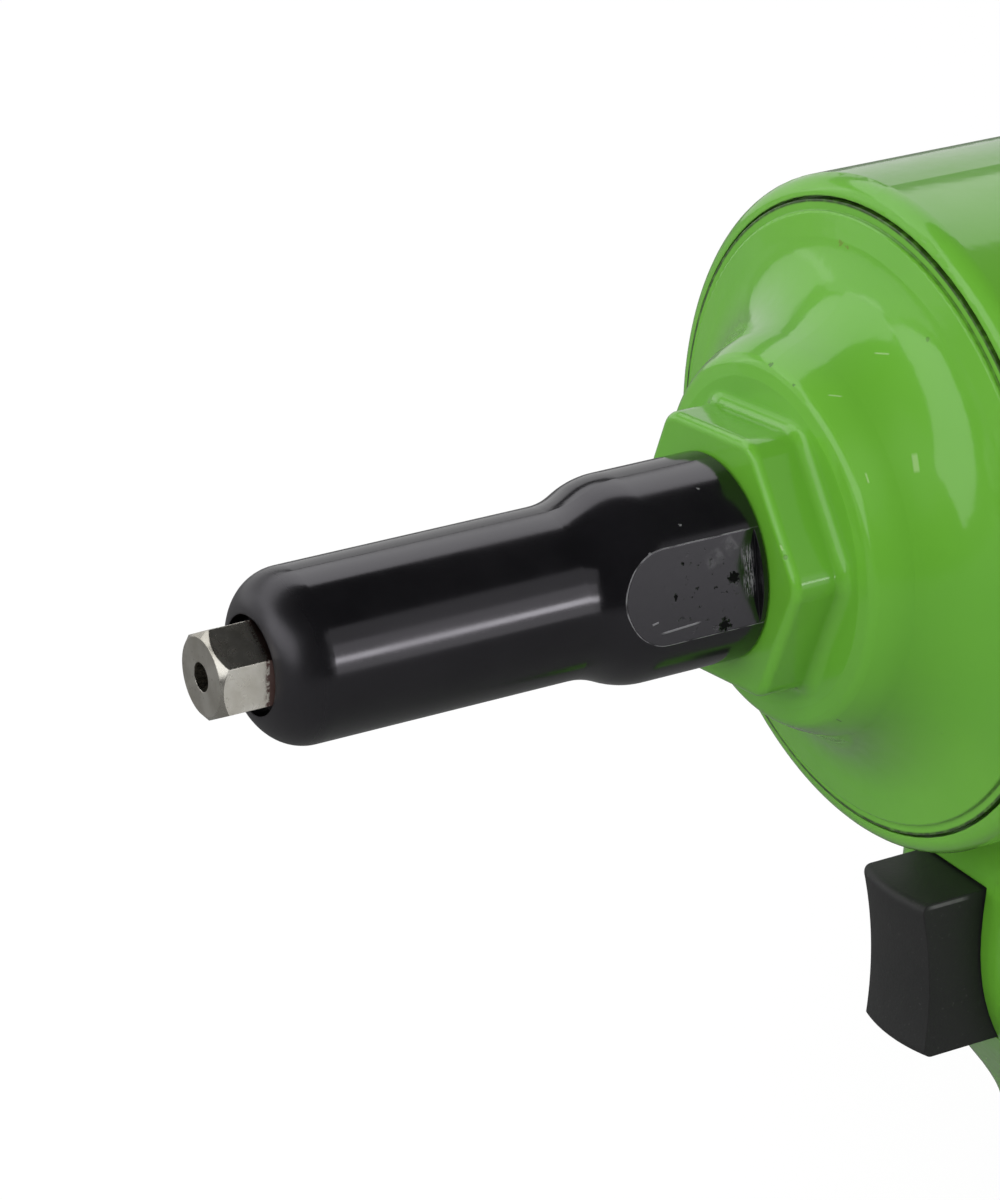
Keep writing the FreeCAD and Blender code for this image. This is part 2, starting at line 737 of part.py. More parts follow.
def make_pull_rod():
    tail = nut_rear
    return turned_part("pull_rod", [
        (rod_front, S.rod_bore + S.rod_funnel),
        (rod_front, S.rod_neck),
        (case_rear, S.rod_neck),
        (case_rear, S.rod_radius),
        (rod_shoulder, S.rod_radius),
        (rod_shoulder, S.rod_piston_radius),
        (tail, S.rod_piston_radius),
        (tail, S.rod_tail_radius),
        (rod_end, S.rod_tail_radius),
        (rod_end, S.rod_bore),
        (rod_front - S.rod_funnel, S.rod_bore),
    ])


# Cylinder: caps, pistons, partition and seals

def make_front_cap():
    body = new_body("front_cap")
    groove_front = cap_shoulder - (S.cap_spigot_length - S.seal_width) / 2 + S.groove_gap
    groove_rear = groove_front - S.seal_width - S.groove_gap * 2
    ledge = cap_front - S.cap_step
    rim_rear = lip - S.mouth_depth + S.free_gap
    rod_groove = rod_hole + S.seal_depth + S.seal_gap
    hub_point = S.hub_hex / 2 / cosine(HALF_SIXTH) + S.free_gap
    spin(body, new_sketch(body, "profile", "XZ_Plane", [
        (hub_face, barrel_hole),
        (hub_face, hub_point),
        (hub_foot, hub_point),
        (hub_foot, S.shoulder_flat),
        (hub_foot - S.shoulder_drop, S.shoulder_slope),
        left(S.shoulder_round),
        (hub_foot - S.shoulder_rim_drop, S.shoulder_rim),
        left(S.shoulder_bow),
        (hub_foot - S.flare_start_drop, S.flare_start),
        right(S.flare_radius),
        (hub_foot - S.flare_end_drop, S.flare_end),
        (cap_front, S.cap_disc - S.cap_edge),
        left(S.cap_edge),
        (cap_front - S.cap_edge, S.cap_disc),
        (ledge, S.cap_disc),
        (ledge, S.cap_rim),
        (rim_rear, S.cap_rim),
        (rim_rear, S.cap_thread),
        (cap_shoulder, S.cap_thread),
        (cap_shoulder, front_spigot),
        (groove_front, front_spigot),
        (groove_front, front_spigot - S.seal_depth),
        (groove_rear, front_spigot - S.seal_depth),
        (groove_rear, front_spigot),
        (cap_rear, front_spigot),
        (cap_rear, S.cap_recess),
        (cap_floor, S.cap_recess),
        (cap_floor, S.cap_boss),
        (cap_rear, S.cap_boss),
        (cap_rear, rod_hole),
        (rod_seal_front - S.seal_width - S.groove_gap, rod_hole),
        (rod_seal_front - S.seal_width - S.groove_gap, rod_groove),
        (rod_seal_front + S.groove_gap, rod_groove),
        (rod_seal_front + S.groove_gap, rod_hole),
        (hub_face - S.barrel_socket, rod_hole),
        (hub_face - S.barrel_socket, barrel_hole),
    ]))
    cut_hexagon(body, "hexagon", S.hub_hex, S.shoulder_flat, hub_face, S.hub_length, S.hub_turn)

    def on_corner(edge):
        box = edge.BoundBox
        at_hub = abs(box.XMax - hub_face.value) < TOUCH and abs(box.XMin - hub_foot.value) < TOUCH
        return at_hub and outside_barrel(edge)

    def on_front(edge):
        return abs(edge.BoundBox.XMin - hub_face.value) < TOUCH and outside_barrel(edge)

    def on_foot(edge):
        box = edge.BoundBox
        flat = abs(box.XMin - hub_foot.value) < TOUCH and abs(box.XMax - hub_foot.value) < TOUCH
        return flat and farthest_out(edge) < S.shoulder_flat.value - TOUCH
    round_edges(body, "corners", S.hub_corner, on_corner)
    round_edges(body, "front_edge", S.hub_edge, on_front)
    round_edges(body, "foot", S.hub_fillet, on_foot)
    return body


def farthest_out(edge):
    return max(math.hypot(vertex.Y, vertex.Z) for vertex in edge.Vertexes)


def outside_barrel(edge):
    return farthest_out(edge) > barrel_hole.value + TOUCH


def make_housing():
    body = new_body("housing")
    spin(body, new_sketch(body, "outside", "XZ_Plane", [
        (lip, 0),
        (lip, S.housing_radius - S.lip_round),
        left(S.lip_round),
        (lip - S.lip_round, S.housing_radius),
        (housing_rear + S.lip_round, S.housing_radius),
        left(S.lip_round),
        (housing_rear, S.housing_radius - S.lip_round),
        (housing_rear, 0),
    ]))
    add_handle(body)
    spin_cut(body, new_sketch(body, "inside", "XZ_Plane", [
        (lip + S.overcut, 0),
        (lip + S.overcut, S.mouth_radius),
        (lip - S.mouth_depth, S.mouth_radius),
        (lip - S.mouth_depth, cap_hole),
        (cap_shoulder, cap_hole),
        (cap_shoulder, S.front_bore),
        (partition_front, S.front_bore),
        (partition_front, S.rear_bore),
        (partition_rear, S.rear_bore),
        (partition_rear, S.rear_bore + S.ring_groove),
        (ring_rear, S.rear_bore + S.ring_groove),
        (ring_rear, S.rear_bore),
        (rear_cap_shoulder, S.rear_bore),
        (rear_cap_shoulder, cap_hole),
        (housing_rear + S.mouth_depth, cap_hole),
        (housing_rear + S.mouth_depth, S.mouth_radius),
        (housing_rear - S.overcut, S.mouth_radius),
        (housing_rear - S.overcut, 0),
    ]))
    cut_handle(body)
    return body


def handle_front_at(drop):
    return -S.handle_front - (drop - S.trigger_top) * tangent(S.handle_lean)


def handle_section(body, name, drop, depth, half, setback=NO_SIZE):
    front = handle_front_at(drop) - setback
    back = front - depth
    corner = half - S.handle_flat
    rear = S.handle_back
    return new_sketch(body, name, "XY_Plane", handle_outline(front, back, half, corner, rear),
                      lift=-drop)


def handle_outline(front, back, half, corner, rear):
    return [
        (front, -S.handle_flat),
        (front, S.handle_flat),
        left(corner),
        (front - corner, half),
        (back + rear, half),
        left(rear),
        (back, half - rear),
        (back, rear - half),
        left(rear),
        (back + rear, -half),
        (front - corner, -half),
        left(corner),
    ]


def add_handle(body):
    sections = [
        handle_section(body, "root", S.handle_root, S.root_depth, S.root_half),
        handle_section(body, "neck", S.handle_neck, S.neck_depth, S.neck_half),
        handle_section(body, "ledge", S.handle_ledge, S.ledge_depth, S.neck_half, S.ledge_setback),
        handle_section(body, "finger", S.handle_finger, S.finger_depth, S.neck_half, S.finger_setback),
        handle_section(body, "palm", S.handle_palm, S.palm_depth, S.palm_half, S.palm_setback),
        handle_section(body, "heel", S.handle_heel, S.heel_depth, S.heel_half, S.heel_setback),
        handle_section(body, "foot", S.handle_foot, S.foot_depth, S.foot_half),
    ]
    loft = body.newObject("PartDesign::AdditiveLoft", "housing_handle")
    loft.Profile = sections[0]
    loft.Sections = sections[1:]

    def meets_cylinder(edge):
        spots = edge.discretize(Number=EDGE_SPOTS)
        return all(spot.z < -S.handle_root.value
                   and abs(math.hypot(spot.y, spot.z) - S.housing_radius.value) < TOUCH
                   for spot in spots)
    round_edges(body, "neck_round", S.handle_fillet, meets_cylinder)


def cut_handle(body):
    side = S.trigger_half + S.free_gap
    top = -S.trigger_top + S.free_gap
    bottom = -S.trigger_top - S.trigger_height - S.free_gap
    mouth = -S.trigger_front + S.trigger_travel
    slot = new_sketch(body, "trigger_slot", "XZ_Plane",
                      [(mouth, top), (-S.pocket_back, top), (-S.pocket_back, bottom), (mouth, bottom)])
    pocket(body, slot, side * 2, both_sides=True)
    seat = -S.pocket_back - S.bushing_length
    bore = new_sketch(body, "valve_bore", "YZ_Plane",
                      Round(0, -S.valve_drop, S.bushing_radius + S.thread_gap),
                      lift=-S.pocket_back + S.overcut)
    pocket(body, bore, S.bushing_length + S.overcut)
    room = new_sketch(body, "valve_room", "YZ_Plane", Round(0, -S.valve_drop, S.valve_room),
                      lift=seat + S.overcut)
    pocket(body, room, S.valve_room_length + S.overcut)
    foot = -S.handle_foot
    passage = new_sketch(body, "air_way", "XY_Plane", Round(-S.inlet_place, 0, S.inlet_passage),
                         lift=foot)
    pocket(body, passage, S.handle_foot - S.valve_drop, forwards=True)
    neck = new_sketch(body, "inlet_thread", "XY_Plane",
                      Round(-S.inlet_place, 0, S.inlet_neck + S.thread_gap), lift=foot)
    pocket(body, neck, S.inlet_neck_length - S.base_thickness, forwards=True)
    exhaust = new_sketch(body, "exhaust_room", "XY_Plane",
                         Round(-S.muffler_place, 0, S.muffler_radius + S.muffler_play), lift=foot)
    pocket(body, exhaust, S.muffler_room, forwards=True)
    taps = new_sketch(body, "screw_taps", "XY_Plane",
                      Round(-S.screw_place, S.screw_side, S.screw_shank + S.thread_gap),
                      Round(-S.screw_place, -S.screw_side, S.screw_shank + S.thread_gap), lift=foot)
    pocket(body, taps, S.screw_length, forwards=True)


def make_piston(label, face, bore, hole, shoulder_hole=None):
    rear = face - S.piston_thickness
    outer = bore - S.free_gap
    middle = face - (S.piston_thickness - S.piston_skirt - S.piston_seal_width) / 2
    groove = outer - S.piston_seal_depth
    front_hole = [(face, hole)]
    if shoulder_hole is not None:
        front_hole = [(rod_shoulder, hole), (rod_shoulder, shoulder_hole), (face, shoulder_hole)]
    return turned_part(label, front_hole + [
        (face, outer),
        (middle + S.groove_gap, outer),
        (middle + S.groove_gap, groove),
        (middle - S.piston_seal_width - S.groove_gap, groove),
        (middle - S.piston_seal_width - S.groove_gap, outer),
        (rear, outer),
        (rear, S.piston_rim),
        (rear + S.piston_skirt, S.piston_rim),
        (rear + S.piston_skirt, S.piston_hub),
        (rear, S.piston_hub),
        (rear, hole),
    ])


def make_piston_seal(label, face, bore):
    middle = face - (S.piston_thickness - S.piston_skirt - S.piston_seal_width) / 2
    inner = bore - S.free_gap - S.piston_seal_depth + S.groove_gap
    return seal_ring(label, middle, S.piston_seal_width, inner, bore - S.seal_gap)


def make_partition():
    middle = partition_front - (S.partition_thickness - S.seal_width) / 2
    outer = S.rear_bore - S.thread_gap
    deep = outer - S.seal_depth
    inner_deep = spacer_hole + S.seal_depth
    front = middle + S.groove_gap
    rear = middle - S.seal_width - S.groove_gap
    return turned_part("partition_wall", [
        (partition_front, spacer_hole),
        (partition_front, outer),
        (front, outer),
        (front, deep),
        (rear, deep),
        (rear, outer),
        (partition_rear, outer),
        (partition_rear, spacer_hole),
        (rear, spacer_hole),
        (rear, inner_deep),
        (front, inner_deep),
        (front, spacer_hole),
    ])


def make_partition_ring():
    body = new_body("partition_ring")
    spin(body, new_sketch(body, "profile", "XZ_Plane", [
        (partition_rear, S.ring_inner),
        (partition_rear, S.rear_bore + S.ring_groove - S.groove_gap),
        (ring_rear, S.rear_bore + S.ring_groove - S.groove_gap),
        (ring_rear, S.ring_inner),
    ]), angle=FULL_TURN - S.ring_opening)
    return body


def make_piston_nut():
    body = new_body("piston_nut")
    corner = S.nut_hex / 2 / cosine(HALF_SIXTH)
    spin(body, new_sketch(body, "profile", "XZ_Plane", [
        (rear_piston_rear, piston_hole),
        (rear_piston_rear, corner),
        (nut_rear + S.nut_chamfer, corner),
        (nut_rear, S.nut_hex / 2),
        (nut_rear, piston_hole),
    ]))
    cut_hexagon(body, "hexagon", S.nut_hex, corner + S.overcut, rear_piston_rear, S.nut_height,
                NO_SIZE)
    return body


def make_rear_cap():
    body = new_body("rear_cap")
    groove_front = rear_cap_face - (S.rear_spigot_length - S.seal_width) / 2 + S.groove_gap
    groove_rear = groove_front - S.seal_width - S.groove_gap * 2
    rear_disc = housing_rear - S.cap_proud
    ledge = rear_disc + S.cap_step
    rim_front = housing_rear + S.mouth_depth - S.free_gap
    spin(body, new_sketch(body, "profile", "XZ_Plane", [
        (rear_cap_face, S.spring_room),
        (rear_cap_face, rear_spigot),
        (groove_front, rear_spigot),
        (groove_front, rear_spigot - S.seal_depth),
        (groove_rear, rear_spigot - S.seal_depth),
        (groove_rear, rear_spigot),
        (rear_cap_shoulder, rear_spigot),
        (rear_cap_shoulder, S.cap_thread),
        (rim_front, S.cap_thread),
        (rim_front, S.cap_rim),
        (ledge, S.cap_rim),
        (ledge, S.cap_disc),
        (rear_disc + S.cap_edge, S.cap_disc),
        left(S.cap_edge),
        (rear_disc, S.cap_disc - S.cap_edge),
        (rear_disc, S.flare_end),
        right(S.flare_radius),
        (rear_flat + S.rear_round, S.rear_shoulder),
        left(S.rear_round),
        (rear_flat, S.rear_shoulder - S.rear_round),
        (rear_flat, S.rear_boss),
        (rear_end, S.rear_boss),
        (rear_end, tail_hole),
        (guide_front, tail_hole),
        (guide_front, S.guide_radius),
        (spring_floor, S.guide_radius),
        (spring_floor, S.spring_room),
    ]))
    hexagon_pad = new_sketch(body, "hexagon", "YZ_Plane", Round(0, 0, S.rear_boss - S.overcut),
                             hexagon(S.rear_hex), lift=rear_flat + S.overcut)
    pad(body, hexagon_pad, S.rear_hex_length + S.overcut, downwards=True)
    return body


def make_collector():
    body = new_body("mandrel_collector")
    inner = S.collector_radius - S.collector_wall
    neck_end = rear_end - S.free_gap
    inner_round = S.collector_round - S.collector_wall
    spin(body, new_sketch(body, "profile", "XZ_Plane", [
        (collector_mouth, S.rear_boss + S.free_gap),
        (collector_mouth, S.collector_radius),
        (collector_end + S.collector_round, S.collector_radius),
        left(S.collector_round),
        (collector_end, S.collector_radius - S.collector_round),
        (collector_end, 0),
        (collector_end + S.collector_wall, 0),
        (collector_end + S.collector_wall, inner - inner_round),
        right(inner_round),
        (collector_end + S.collector_round, inner),
        (neck_end - S.collector_wall, inner),
        (neck_end, S.rear_boss + S.free_gap),
    ]))
    half = S.flute_width / 2
    spread = half + S.flute_depth + S.overcut
    floor = S.collector_radius - S.flute_depth
    flute = new_sketch(body, "flute", "YZ_Plane", [
        (-half, floor),
        (half, floor),
        (spread, S.collector_radius + S.overcut),
        (-spread, S.collector_radius + S.overcut),
    ], lift=collector_mouth + S.overcut)
    cut = pocket(body, flute, S.collector_grip_length + S.overcut)
    pattern = body.newObject("PartDesign::PolarPattern", "mandrel_collector_flutes")
    pattern.Originals = [cut]
    for feature in body.Origin.OriginFeatures:
        if feature.Role == "X_Axis":
            pattern.Axis = (feature, [""])
    pattern.Angle = 360
    pattern.setExpression("Occurrences", S.flute_count.formula)
    body.Tip = pattern
    return body


# Trigger and valve

def make_trigger():
    body = new_body("trigger")
    top = -S.trigger_top
    bottom = top - S.trigger_height
    crown = S.trigger_crown
    side = square_root(crown * crown - S.trigger_half * S.trigger_half)
    axis = -S.trigger_front - side
    front = axis + crown + S.overcut
    block = new_sketch(body, "side", "XZ_Plane",
                       [(front, top), (-S.trigger_back, top), (-S.trigger_back, bottom), (front, bottom)])
    pad(body, block, S.trigger_half * 2, both_sides=True)
    room = crown * 2
    hollow = new_sketch(body, "hollow", "XZ_Plane", [
        (crown, top),
        left(S.trigger_hollow),
        (crown - S.trigger_lower_back, bottom),
        (crown - S.trigger_lower_back, bottom - S.overcut),
        (room, bottom - S.overcut),
        (room, top + S.overcut),
        (crown, top + S.overcut),
    ], shift=axis)
    spin_cut(body, hollow, axis="V_Axis")
    stem = new_sketch(body, "stem_hole", "YZ_Plane",
                      Round(0, -S.valve_drop, S.stem_radius + S.thread_gap), lift=-S.trigger_back)
    pocket(body, stem, S.stem_grip, forwards=True)

    doc.recompute()
    front_face = max(body.Tip.Shape.Faces, key=lambda face: face.CenterOfMass.x)

    def on_front(edge):
        return any(edge.isSame(rim) for rim in front_face.Edges)
    round_edges(body, "edges", S.trigger_edge, on_front)
    return body


def valve_part(label, *loops):
    body = new_body(label)
    spin(body, new_sketch(body, "profile", "XZ_Plane", *loops))
    body.setExpression("Placement.Base.z", (-S.valve_drop).formula)
    return body


bushing_front = -S.pocket_back
bushing_rear = bushing_front - S.bushing_length
poppet_seal_front = bushing_rear - S.free_gap
poppet_front = poppet_seal_front - S.poppet_seal
poppet_rear = poppet_front - S.poppet_length
valve_room_end = bushing_rear - S.valve_room_length


def make_valve_bushing():
    return valve_part("valve_bushing", [
        (bushing_front, S.stem_radius + S.running_gap),
        (bushing_front, S.bushing_radius),
        (bushing_rear, S.bushing_radius),
        (bushing_rear, S.bushing_room),
        (bushing_front - S.bushing_guide, S.bushing_room),
        (bushing_front - S.bushing_guide, S.stem_radius + S.running_gap),
    ])


def make_valve_stem():
    stem_front = -S.trigger_back + S.stem_grip
    return valve_part("valve_stem", [
        (stem_front, 0),
        (stem_front, S.stem_radius),
        (bushing_front - S.bushing_guide, S.stem_radius),
        (bushing_front - S.bushing_guide - S.stem_cone, S.stem_neck),
        (poppet_front, S.stem_neck),
        (poppet_front, S.poppet_radius),
        (poppet_rear, S.poppet_radius),
        (poppet_rear, S.poppet_tail),
        (poppet_rear - S.poppet_tail_length, S.poppet_tail),
        (poppet_rear - S.poppet_tail_length, 0),
    ])


def make_poppet_seal():
    hole = S.stem_neck + S.groove_gap
    return valve_part("valve_seal", [
        (poppet_seal_front, hole),
        (poppet_seal_front, S.poppet_radius),
        (poppet_front, S.poppet_radius),
        (poppet_front, hole),
    ])


def make_valve_spring():
    spring = coil("valve_spring", poppet_rear - S.groove_gap, valve_room_end + S.groove_gap,
                  S.valve_spring_radius, S.valve_spring_wire, S.valve_spring_turns)
    spring.Placement = FreeCAD.Placement(FreeCAD.Vector(0, 0, -S.valve_drop.value),
                                         FreeCAD.Rotation())
    return spring


# Handle base, air inlet, muffler and base screws

base_top = -S.handle_foot
base_bottom = base_top - S.base_thickness


def make_handle_base():
    body = new_body("handle_base")
    front = handle_front_at(S.handle_foot)
    corner = S.foot_half - S.handle_flat
    outline = handle_outline(front, front - S.foot_depth, S.foot_half, corner, S.handle_back)
    plate = new_sketch(body, "plate", "XY_Plane", outline, lift=base_top)
    pad(body, plate, S.base_thickness, downwards=True)

    def lower_edge(edge):
        return abs(edge.BoundBox.ZMax - base_bottom.value) < TOUCH
    round_edges(body, "lower_edge", S.base_edge, lower_edge, "PartDesign::Chamfer", "Size")
    hole = new_sketch(body, "inlet_hole", "XY_Plane",
                      Round(-S.inlet_place, 0, S.inlet_neck + S.thread_gap), lift=base_top)
    pocket(body, hole, S.base_thickness)
    shanks = new_sketch(body, "screw_holes", "XY_Plane",
                        Round(-S.screw_place, S.screw_side, S.screw_shank + S.thread_gap),
                        Round(-S.screw_place, -S.screw_side, S.screw_shank + S.thread_gap),
                        lift=base_top)
    pocket(body, shanks, S.base_thickness)
    heads = new_sketch(body, "screw_heads", "XY_Plane",
                       Round(-S.screw_place, S.screw_side, S.screw_head + S.free_gap),
                       Round(-S.screw_place, -S.screw_side, S.screw_head + S.free_gap),
                       lift=base_bottom)
    pocket(body, heads, S.screw_head_height, forwards=True)
    half = S.slot_length / 2
    middle = (S.slot_count - 1) * S.slot_pitch / 2
    start = -S.muffler_place + middle
    slot = new_sketch(body, "exhaust_slot", "XY_Plane", [
        (start - S.slot_width / 2, -half),
        (start + S.slot_width / 2, -half),
        (start + S.slot_width / 2, half),
        (start - S.slot_width / 2, half),
    ], lift=base_top)
    cut = pocket(body, slot, S.base_thickness)
    pattern = body.newObject("PartDesign::LinearPattern", "handle_base_slots")
    pattern.Originals = [cut]
    for feature in body.Origin.OriginFeatures:
        if feature.Role == "X_Axis":
            pattern.Direction = (feature, [""])
    pattern.Reversed = True
    pattern.setExpression("Occurrences", S.slot_count.formula)
    pattern.setExpression("Length", ((S.slot_count - 1) * S.slot_pitch).formula)
    body.Tip = pattern
    return body


def upright_part(label, station, loop):
    body = new_body(label)
    spin(body, new_sketch(body, "profile", "XZ_Plane", loop), axis="V_Axis")
    body.setExpression("Placement.Base.x", (-station).formula)
    return body


def make_air_inlet():
    corner = S.inlet_hex / 2 / cosine(HALF_SIXTH)
    bottom = base_bottom - S.inlet_hex_length
    top = base_bottom + S.inlet_neck_length
    body = upright_part("air_inlet", S.inlet_place, [
        (S.inlet_bore + S.inlet_chamfer, bottom),
        (S.inlet_hex / 2, bottom),
        (corner, bottom + S.inlet_hex_chamfer),
        (corner, base_bottom),
        (S.inlet_neck, base_bottom),
        (S.inlet_neck, top),
        (S.inlet_passage, top),
        (S.inlet_passage, bottom + S.inlet_bore_length + S.inlet_chamfer),
        (S.inlet_bore, bottom + S.inlet_bore_length + S.inlet_chamfer),
        (S.inlet_bore, bottom + S.inlet_chamfer),
    ])
    ring = new_sketch(body, "hexagon", "XY_Plane", Round(0, 0, corner + S.overcut), hexagon(S.inlet_hex),
                      lift=base_bottom)
    pocket(body, ring, S.inlet_hex_length)
    return body


def make_muffler():
    return upright_part("muffler", S.muffler_place, [
        (0, base_top),
        (S.muffler_radius, base_top),
        (S.muffler_radius, base_top + S.muffler_length),
        (0, base_top + S.muffler_length),
    ])


def make_screw(side, name):
    body = new_body(name)
    head = base_bottom + S.screw_head_height
    sketch = new_sketch(body, "profile", "XZ_Plane", [
        (0, head - S.screw_head_height),
        (S.screw_head, head - S.screw_head_height),
        (S.screw_head, head),
        (S.screw_shank, head),
        (S.screw_shank, head + S.screw_length),
        (0, head + S.screw_length),
    ])
    spin(body, sketch, axis="V_Axis")
    socket = new_sketch(body, "socket", "XY_Plane", hexagon(S.screw_socket),
                        lift=head - S.screw_head_height)
    pocket(body, socket, S.screw_socket_depth, forwards=True)
    body.setExpression("Placement.Base.x", (-S.screw_place).formula)
    body.setExpression("Placement.Base.y", (S.screw_side * side).formula)
    return body


def make_base_screws():
    pair = doc.addObject("Part::Compound", "base_screws")
    pair.Label = "base_screws"
    pair.Links = [make_screw(1, "screw_left"), make_screw(-1, "screw_right")]
    return pair


# The whole tool, one object for each separate piece

front_seal_front = cap_shoulder - (S.cap_spigot_length - S.seal_width) / 2
rear_seal_front = rear_cap_face - (S.rear_spigot_length - S.seal_width) / 2
partition_seal_front = partition_front - (S.partition_thickness - S.seal_width) / 2

parts = [
    make_nosepiece(),
    make_nose_barrel(),
    make_jaw_case(),
    *[make_jaw(index) for index in range(JAW_COUNT)],
    make_jaw_pusher(),
    coil("jaw_spring", pusher_shoulder - S.groove_gap, rod_front + S.groove_gap,
         S.jaw_spring_radius, S.jaw_spring_wire, S.jaw_spring_turns),
    make_pull_rod(),
    make_front_cap(),
    seal_ring("front_cap_seal", front_seal_front, S.seal_width,
              front_spigot - S.seal_depth + S.groove_gap, S.front_bore - S.seal_gap),
    seal_ring("rod_seal", rod_seal_front, S.seal_width,
              S.rod_radius + S.seal_gap, rod_hole + S.seal_depth),
    make_housing(),
    make_piston("front_piston", front_piston_face, S.front_bore, piston_hole,
                S.rod_radius + S.thread_gap),
    make_piston_seal("front_piston_seal", front_piston_face, S.front_bore),
    make_partition(),
    seal_ring("partition_seal", partition_seal_front, S.seal_width,
              S.rear_bore - S.thread_gap - S.seal_depth + S.groove_gap,
              S.rear_bore - S.seal_gap),
    seal_ring("partition_rod_seal", partition_seal_front, S.seal_width,
              S.spacer_radius + S.seal_gap, spacer_hole + S.seal_depth - S.groove_gap),
    make_partition_ring(),
    seal_ring("piston_spacer", front_piston_rear, front_piston_rear - rear_piston_face,
              piston_hole, S.spacer_radius),
    make_piston("rear_piston", rear_piston_face, S.rear_bore, piston_hole),
    make_piston_seal("rear_piston_seal", rear_piston_face, S.rear_bore),
    make_piston_nut(),
    coil("return_spring", rear_piston_rear - S.groove_gap, spring_floor + S.groove_gap,
         S.spring_radius, S.spring_wire, S.spring_turns),
    make_rear_cap(),
    seal_ring("rear_cap_seal", rear_seal_front, S.seal_width,
              rear_spigot - S.seal_depth + S.groove_gap, S.rear_bore - S.seal_gap),
    make_collector(),
    make_trigger(),
    make_valve_stem(),
    make_valve_bushing(),
    make_poppet_seal(),
    make_valve_spring(),
    make_handle_base(),
    make_air_inlet(),
    make_muffler(),
    make_base_screws(),
]

doc.recompute()

for item in doc.Objects:
    failed = [state for state in item.State if state in ("Invalid", "Error")]
    if failed:
        raise RuntimeError("%s did not build: %s" % (item.Label, failed))
for part in parts:
    shape = part.Shape
    if shape.isNull() or not shape.isValid():
        raise RuntimeError("%s has no valid shape" % part.Label)
for part in parts:
    part.Shape.exportStep("parts/%s.step" % part.Label)
    print("%-20s %9.1f mm3  %s" % (part.Label, part.Shape.Volume, len(part.Shape.Solids)))
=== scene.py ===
import math

import bmesh
import bpy
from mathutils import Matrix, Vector


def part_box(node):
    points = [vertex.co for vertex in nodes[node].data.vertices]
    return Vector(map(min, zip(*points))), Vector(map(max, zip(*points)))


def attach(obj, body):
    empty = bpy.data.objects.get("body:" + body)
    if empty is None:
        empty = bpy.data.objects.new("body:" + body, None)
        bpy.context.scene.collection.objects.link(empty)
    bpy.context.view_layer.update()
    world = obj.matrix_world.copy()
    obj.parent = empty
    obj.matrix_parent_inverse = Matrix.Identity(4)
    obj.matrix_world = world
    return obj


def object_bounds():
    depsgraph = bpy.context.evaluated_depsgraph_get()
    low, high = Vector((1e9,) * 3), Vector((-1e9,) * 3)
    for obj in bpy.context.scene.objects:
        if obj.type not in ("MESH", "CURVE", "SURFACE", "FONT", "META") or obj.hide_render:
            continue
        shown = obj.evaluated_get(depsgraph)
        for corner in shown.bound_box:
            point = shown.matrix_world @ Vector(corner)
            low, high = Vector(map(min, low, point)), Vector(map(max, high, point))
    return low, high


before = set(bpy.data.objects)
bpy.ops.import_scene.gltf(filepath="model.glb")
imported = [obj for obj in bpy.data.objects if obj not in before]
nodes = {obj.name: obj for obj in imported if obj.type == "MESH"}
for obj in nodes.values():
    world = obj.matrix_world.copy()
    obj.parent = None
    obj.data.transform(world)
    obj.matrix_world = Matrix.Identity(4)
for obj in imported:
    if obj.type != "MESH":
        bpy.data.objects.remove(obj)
cad_low, cad_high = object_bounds()
scene = bpy.context.scene
MM = 0.001

PAINT_DEEP = (0.105, 0.345, 0.024)
PAINT_LIGHT = (0.125, 0.375, 0.030)
PAINT_NIB = (0.03, 0.10, 0.01)
PAINT_PIN = (0.05, 0.12, 0.02)
PAINT_GROOVE_SHADE = (0.010, 0.022, 0.004)
PAINT_SCUFF = (0.45, 0.62, 0.30)
PAINT_CHIP = (0.45, 0.60, 0.32)
PAINT_STAIN = (0.14, 0.12, 0.02)
PAINT_DENT = (0.02, 0.07, 0.01)
OXIDE_DEEP = (0.0028, 0.0027, 0.0034)
OXIDE_LIGHT = (0.0052, 0.0050, 0.0060)
OXIDE_TINT = (0.95, 0.92, 1.0, 1.0)
OXIDE_NICK = (0.002, 0.002, 0.002)
BARE_STEEL = (0.30, 0.30, 0.31)
NICKEL_DEEP = (0.58, 0.555, 0.49)
NICKEL_LIGHT = (0.72, 0.70, 0.64)
NICKEL_REAR_SHADE = (0.06, 0.012, 0.010)
NICKEL_PIT = (0.25, 0.22, 0.19)
DUST = (0.20, 0.20, 0.19)
PLASTIC_EDGE_HIGHLIGHT = (0.15, 0.15, 0.15)
RUBBER = (0.012, 0.012, 0.012)
RUBBER_BLOOM = (0.05, 0.05, 0.048)
BRONZE = (0.46, 0.30, 0.14)
BRONZE_PORE_SHADE = (0.05, 0.03, 0.015)
ZINC_YELLOW = (0.58, 0.56, 0.49)
ZINC_BLUE = (0.50, 0.53, 0.58)
ZINC_WORN = (0.74, 0.73, 0.71)


# Camera: the picture is 1000 by 1200, and the long side has a 36 mm sensor

CAMERA_PLACE = Vector((0.227944, 0.453880, 0.234839))
CAMERA_TARGET = Vector((-0.039147, 0.0, 0.000706))


def make_camera():
    data = bpy.data.cameras.new("camera")
    data.sensor_width = 36.0
    data.lens = 148.46
    data.clip_start = 0.01
    data.clip_end = 50.0
    camera = bpy.data.objects.new("camera", data)
    camera.location = CAMERA_PLACE
    camera.rotation_mode = "QUATERNION"
    camera.rotation_quaternion = (CAMERA_TARGET - CAMERA_PLACE).to_track_quat("-Z", "Y")
    scene.collection.objects.link(camera)
    scene.camera = camera


# Lights: soft panels, each set by the direction that it comes from as the tool sees it.
# Azimuth runs from +X towards +Y, and a panel of radiance 1 looks white.

LIT_POINT = Vector((-0.07, 0.0, 0.0))


def direction(azimuth, elevation):
    a, e = math.radians(azimuth), math.radians(elevation)
    return Vector((math.cos(a) * math.cos(e), math.sin(a) * math.cos(e), math.sin(e)))


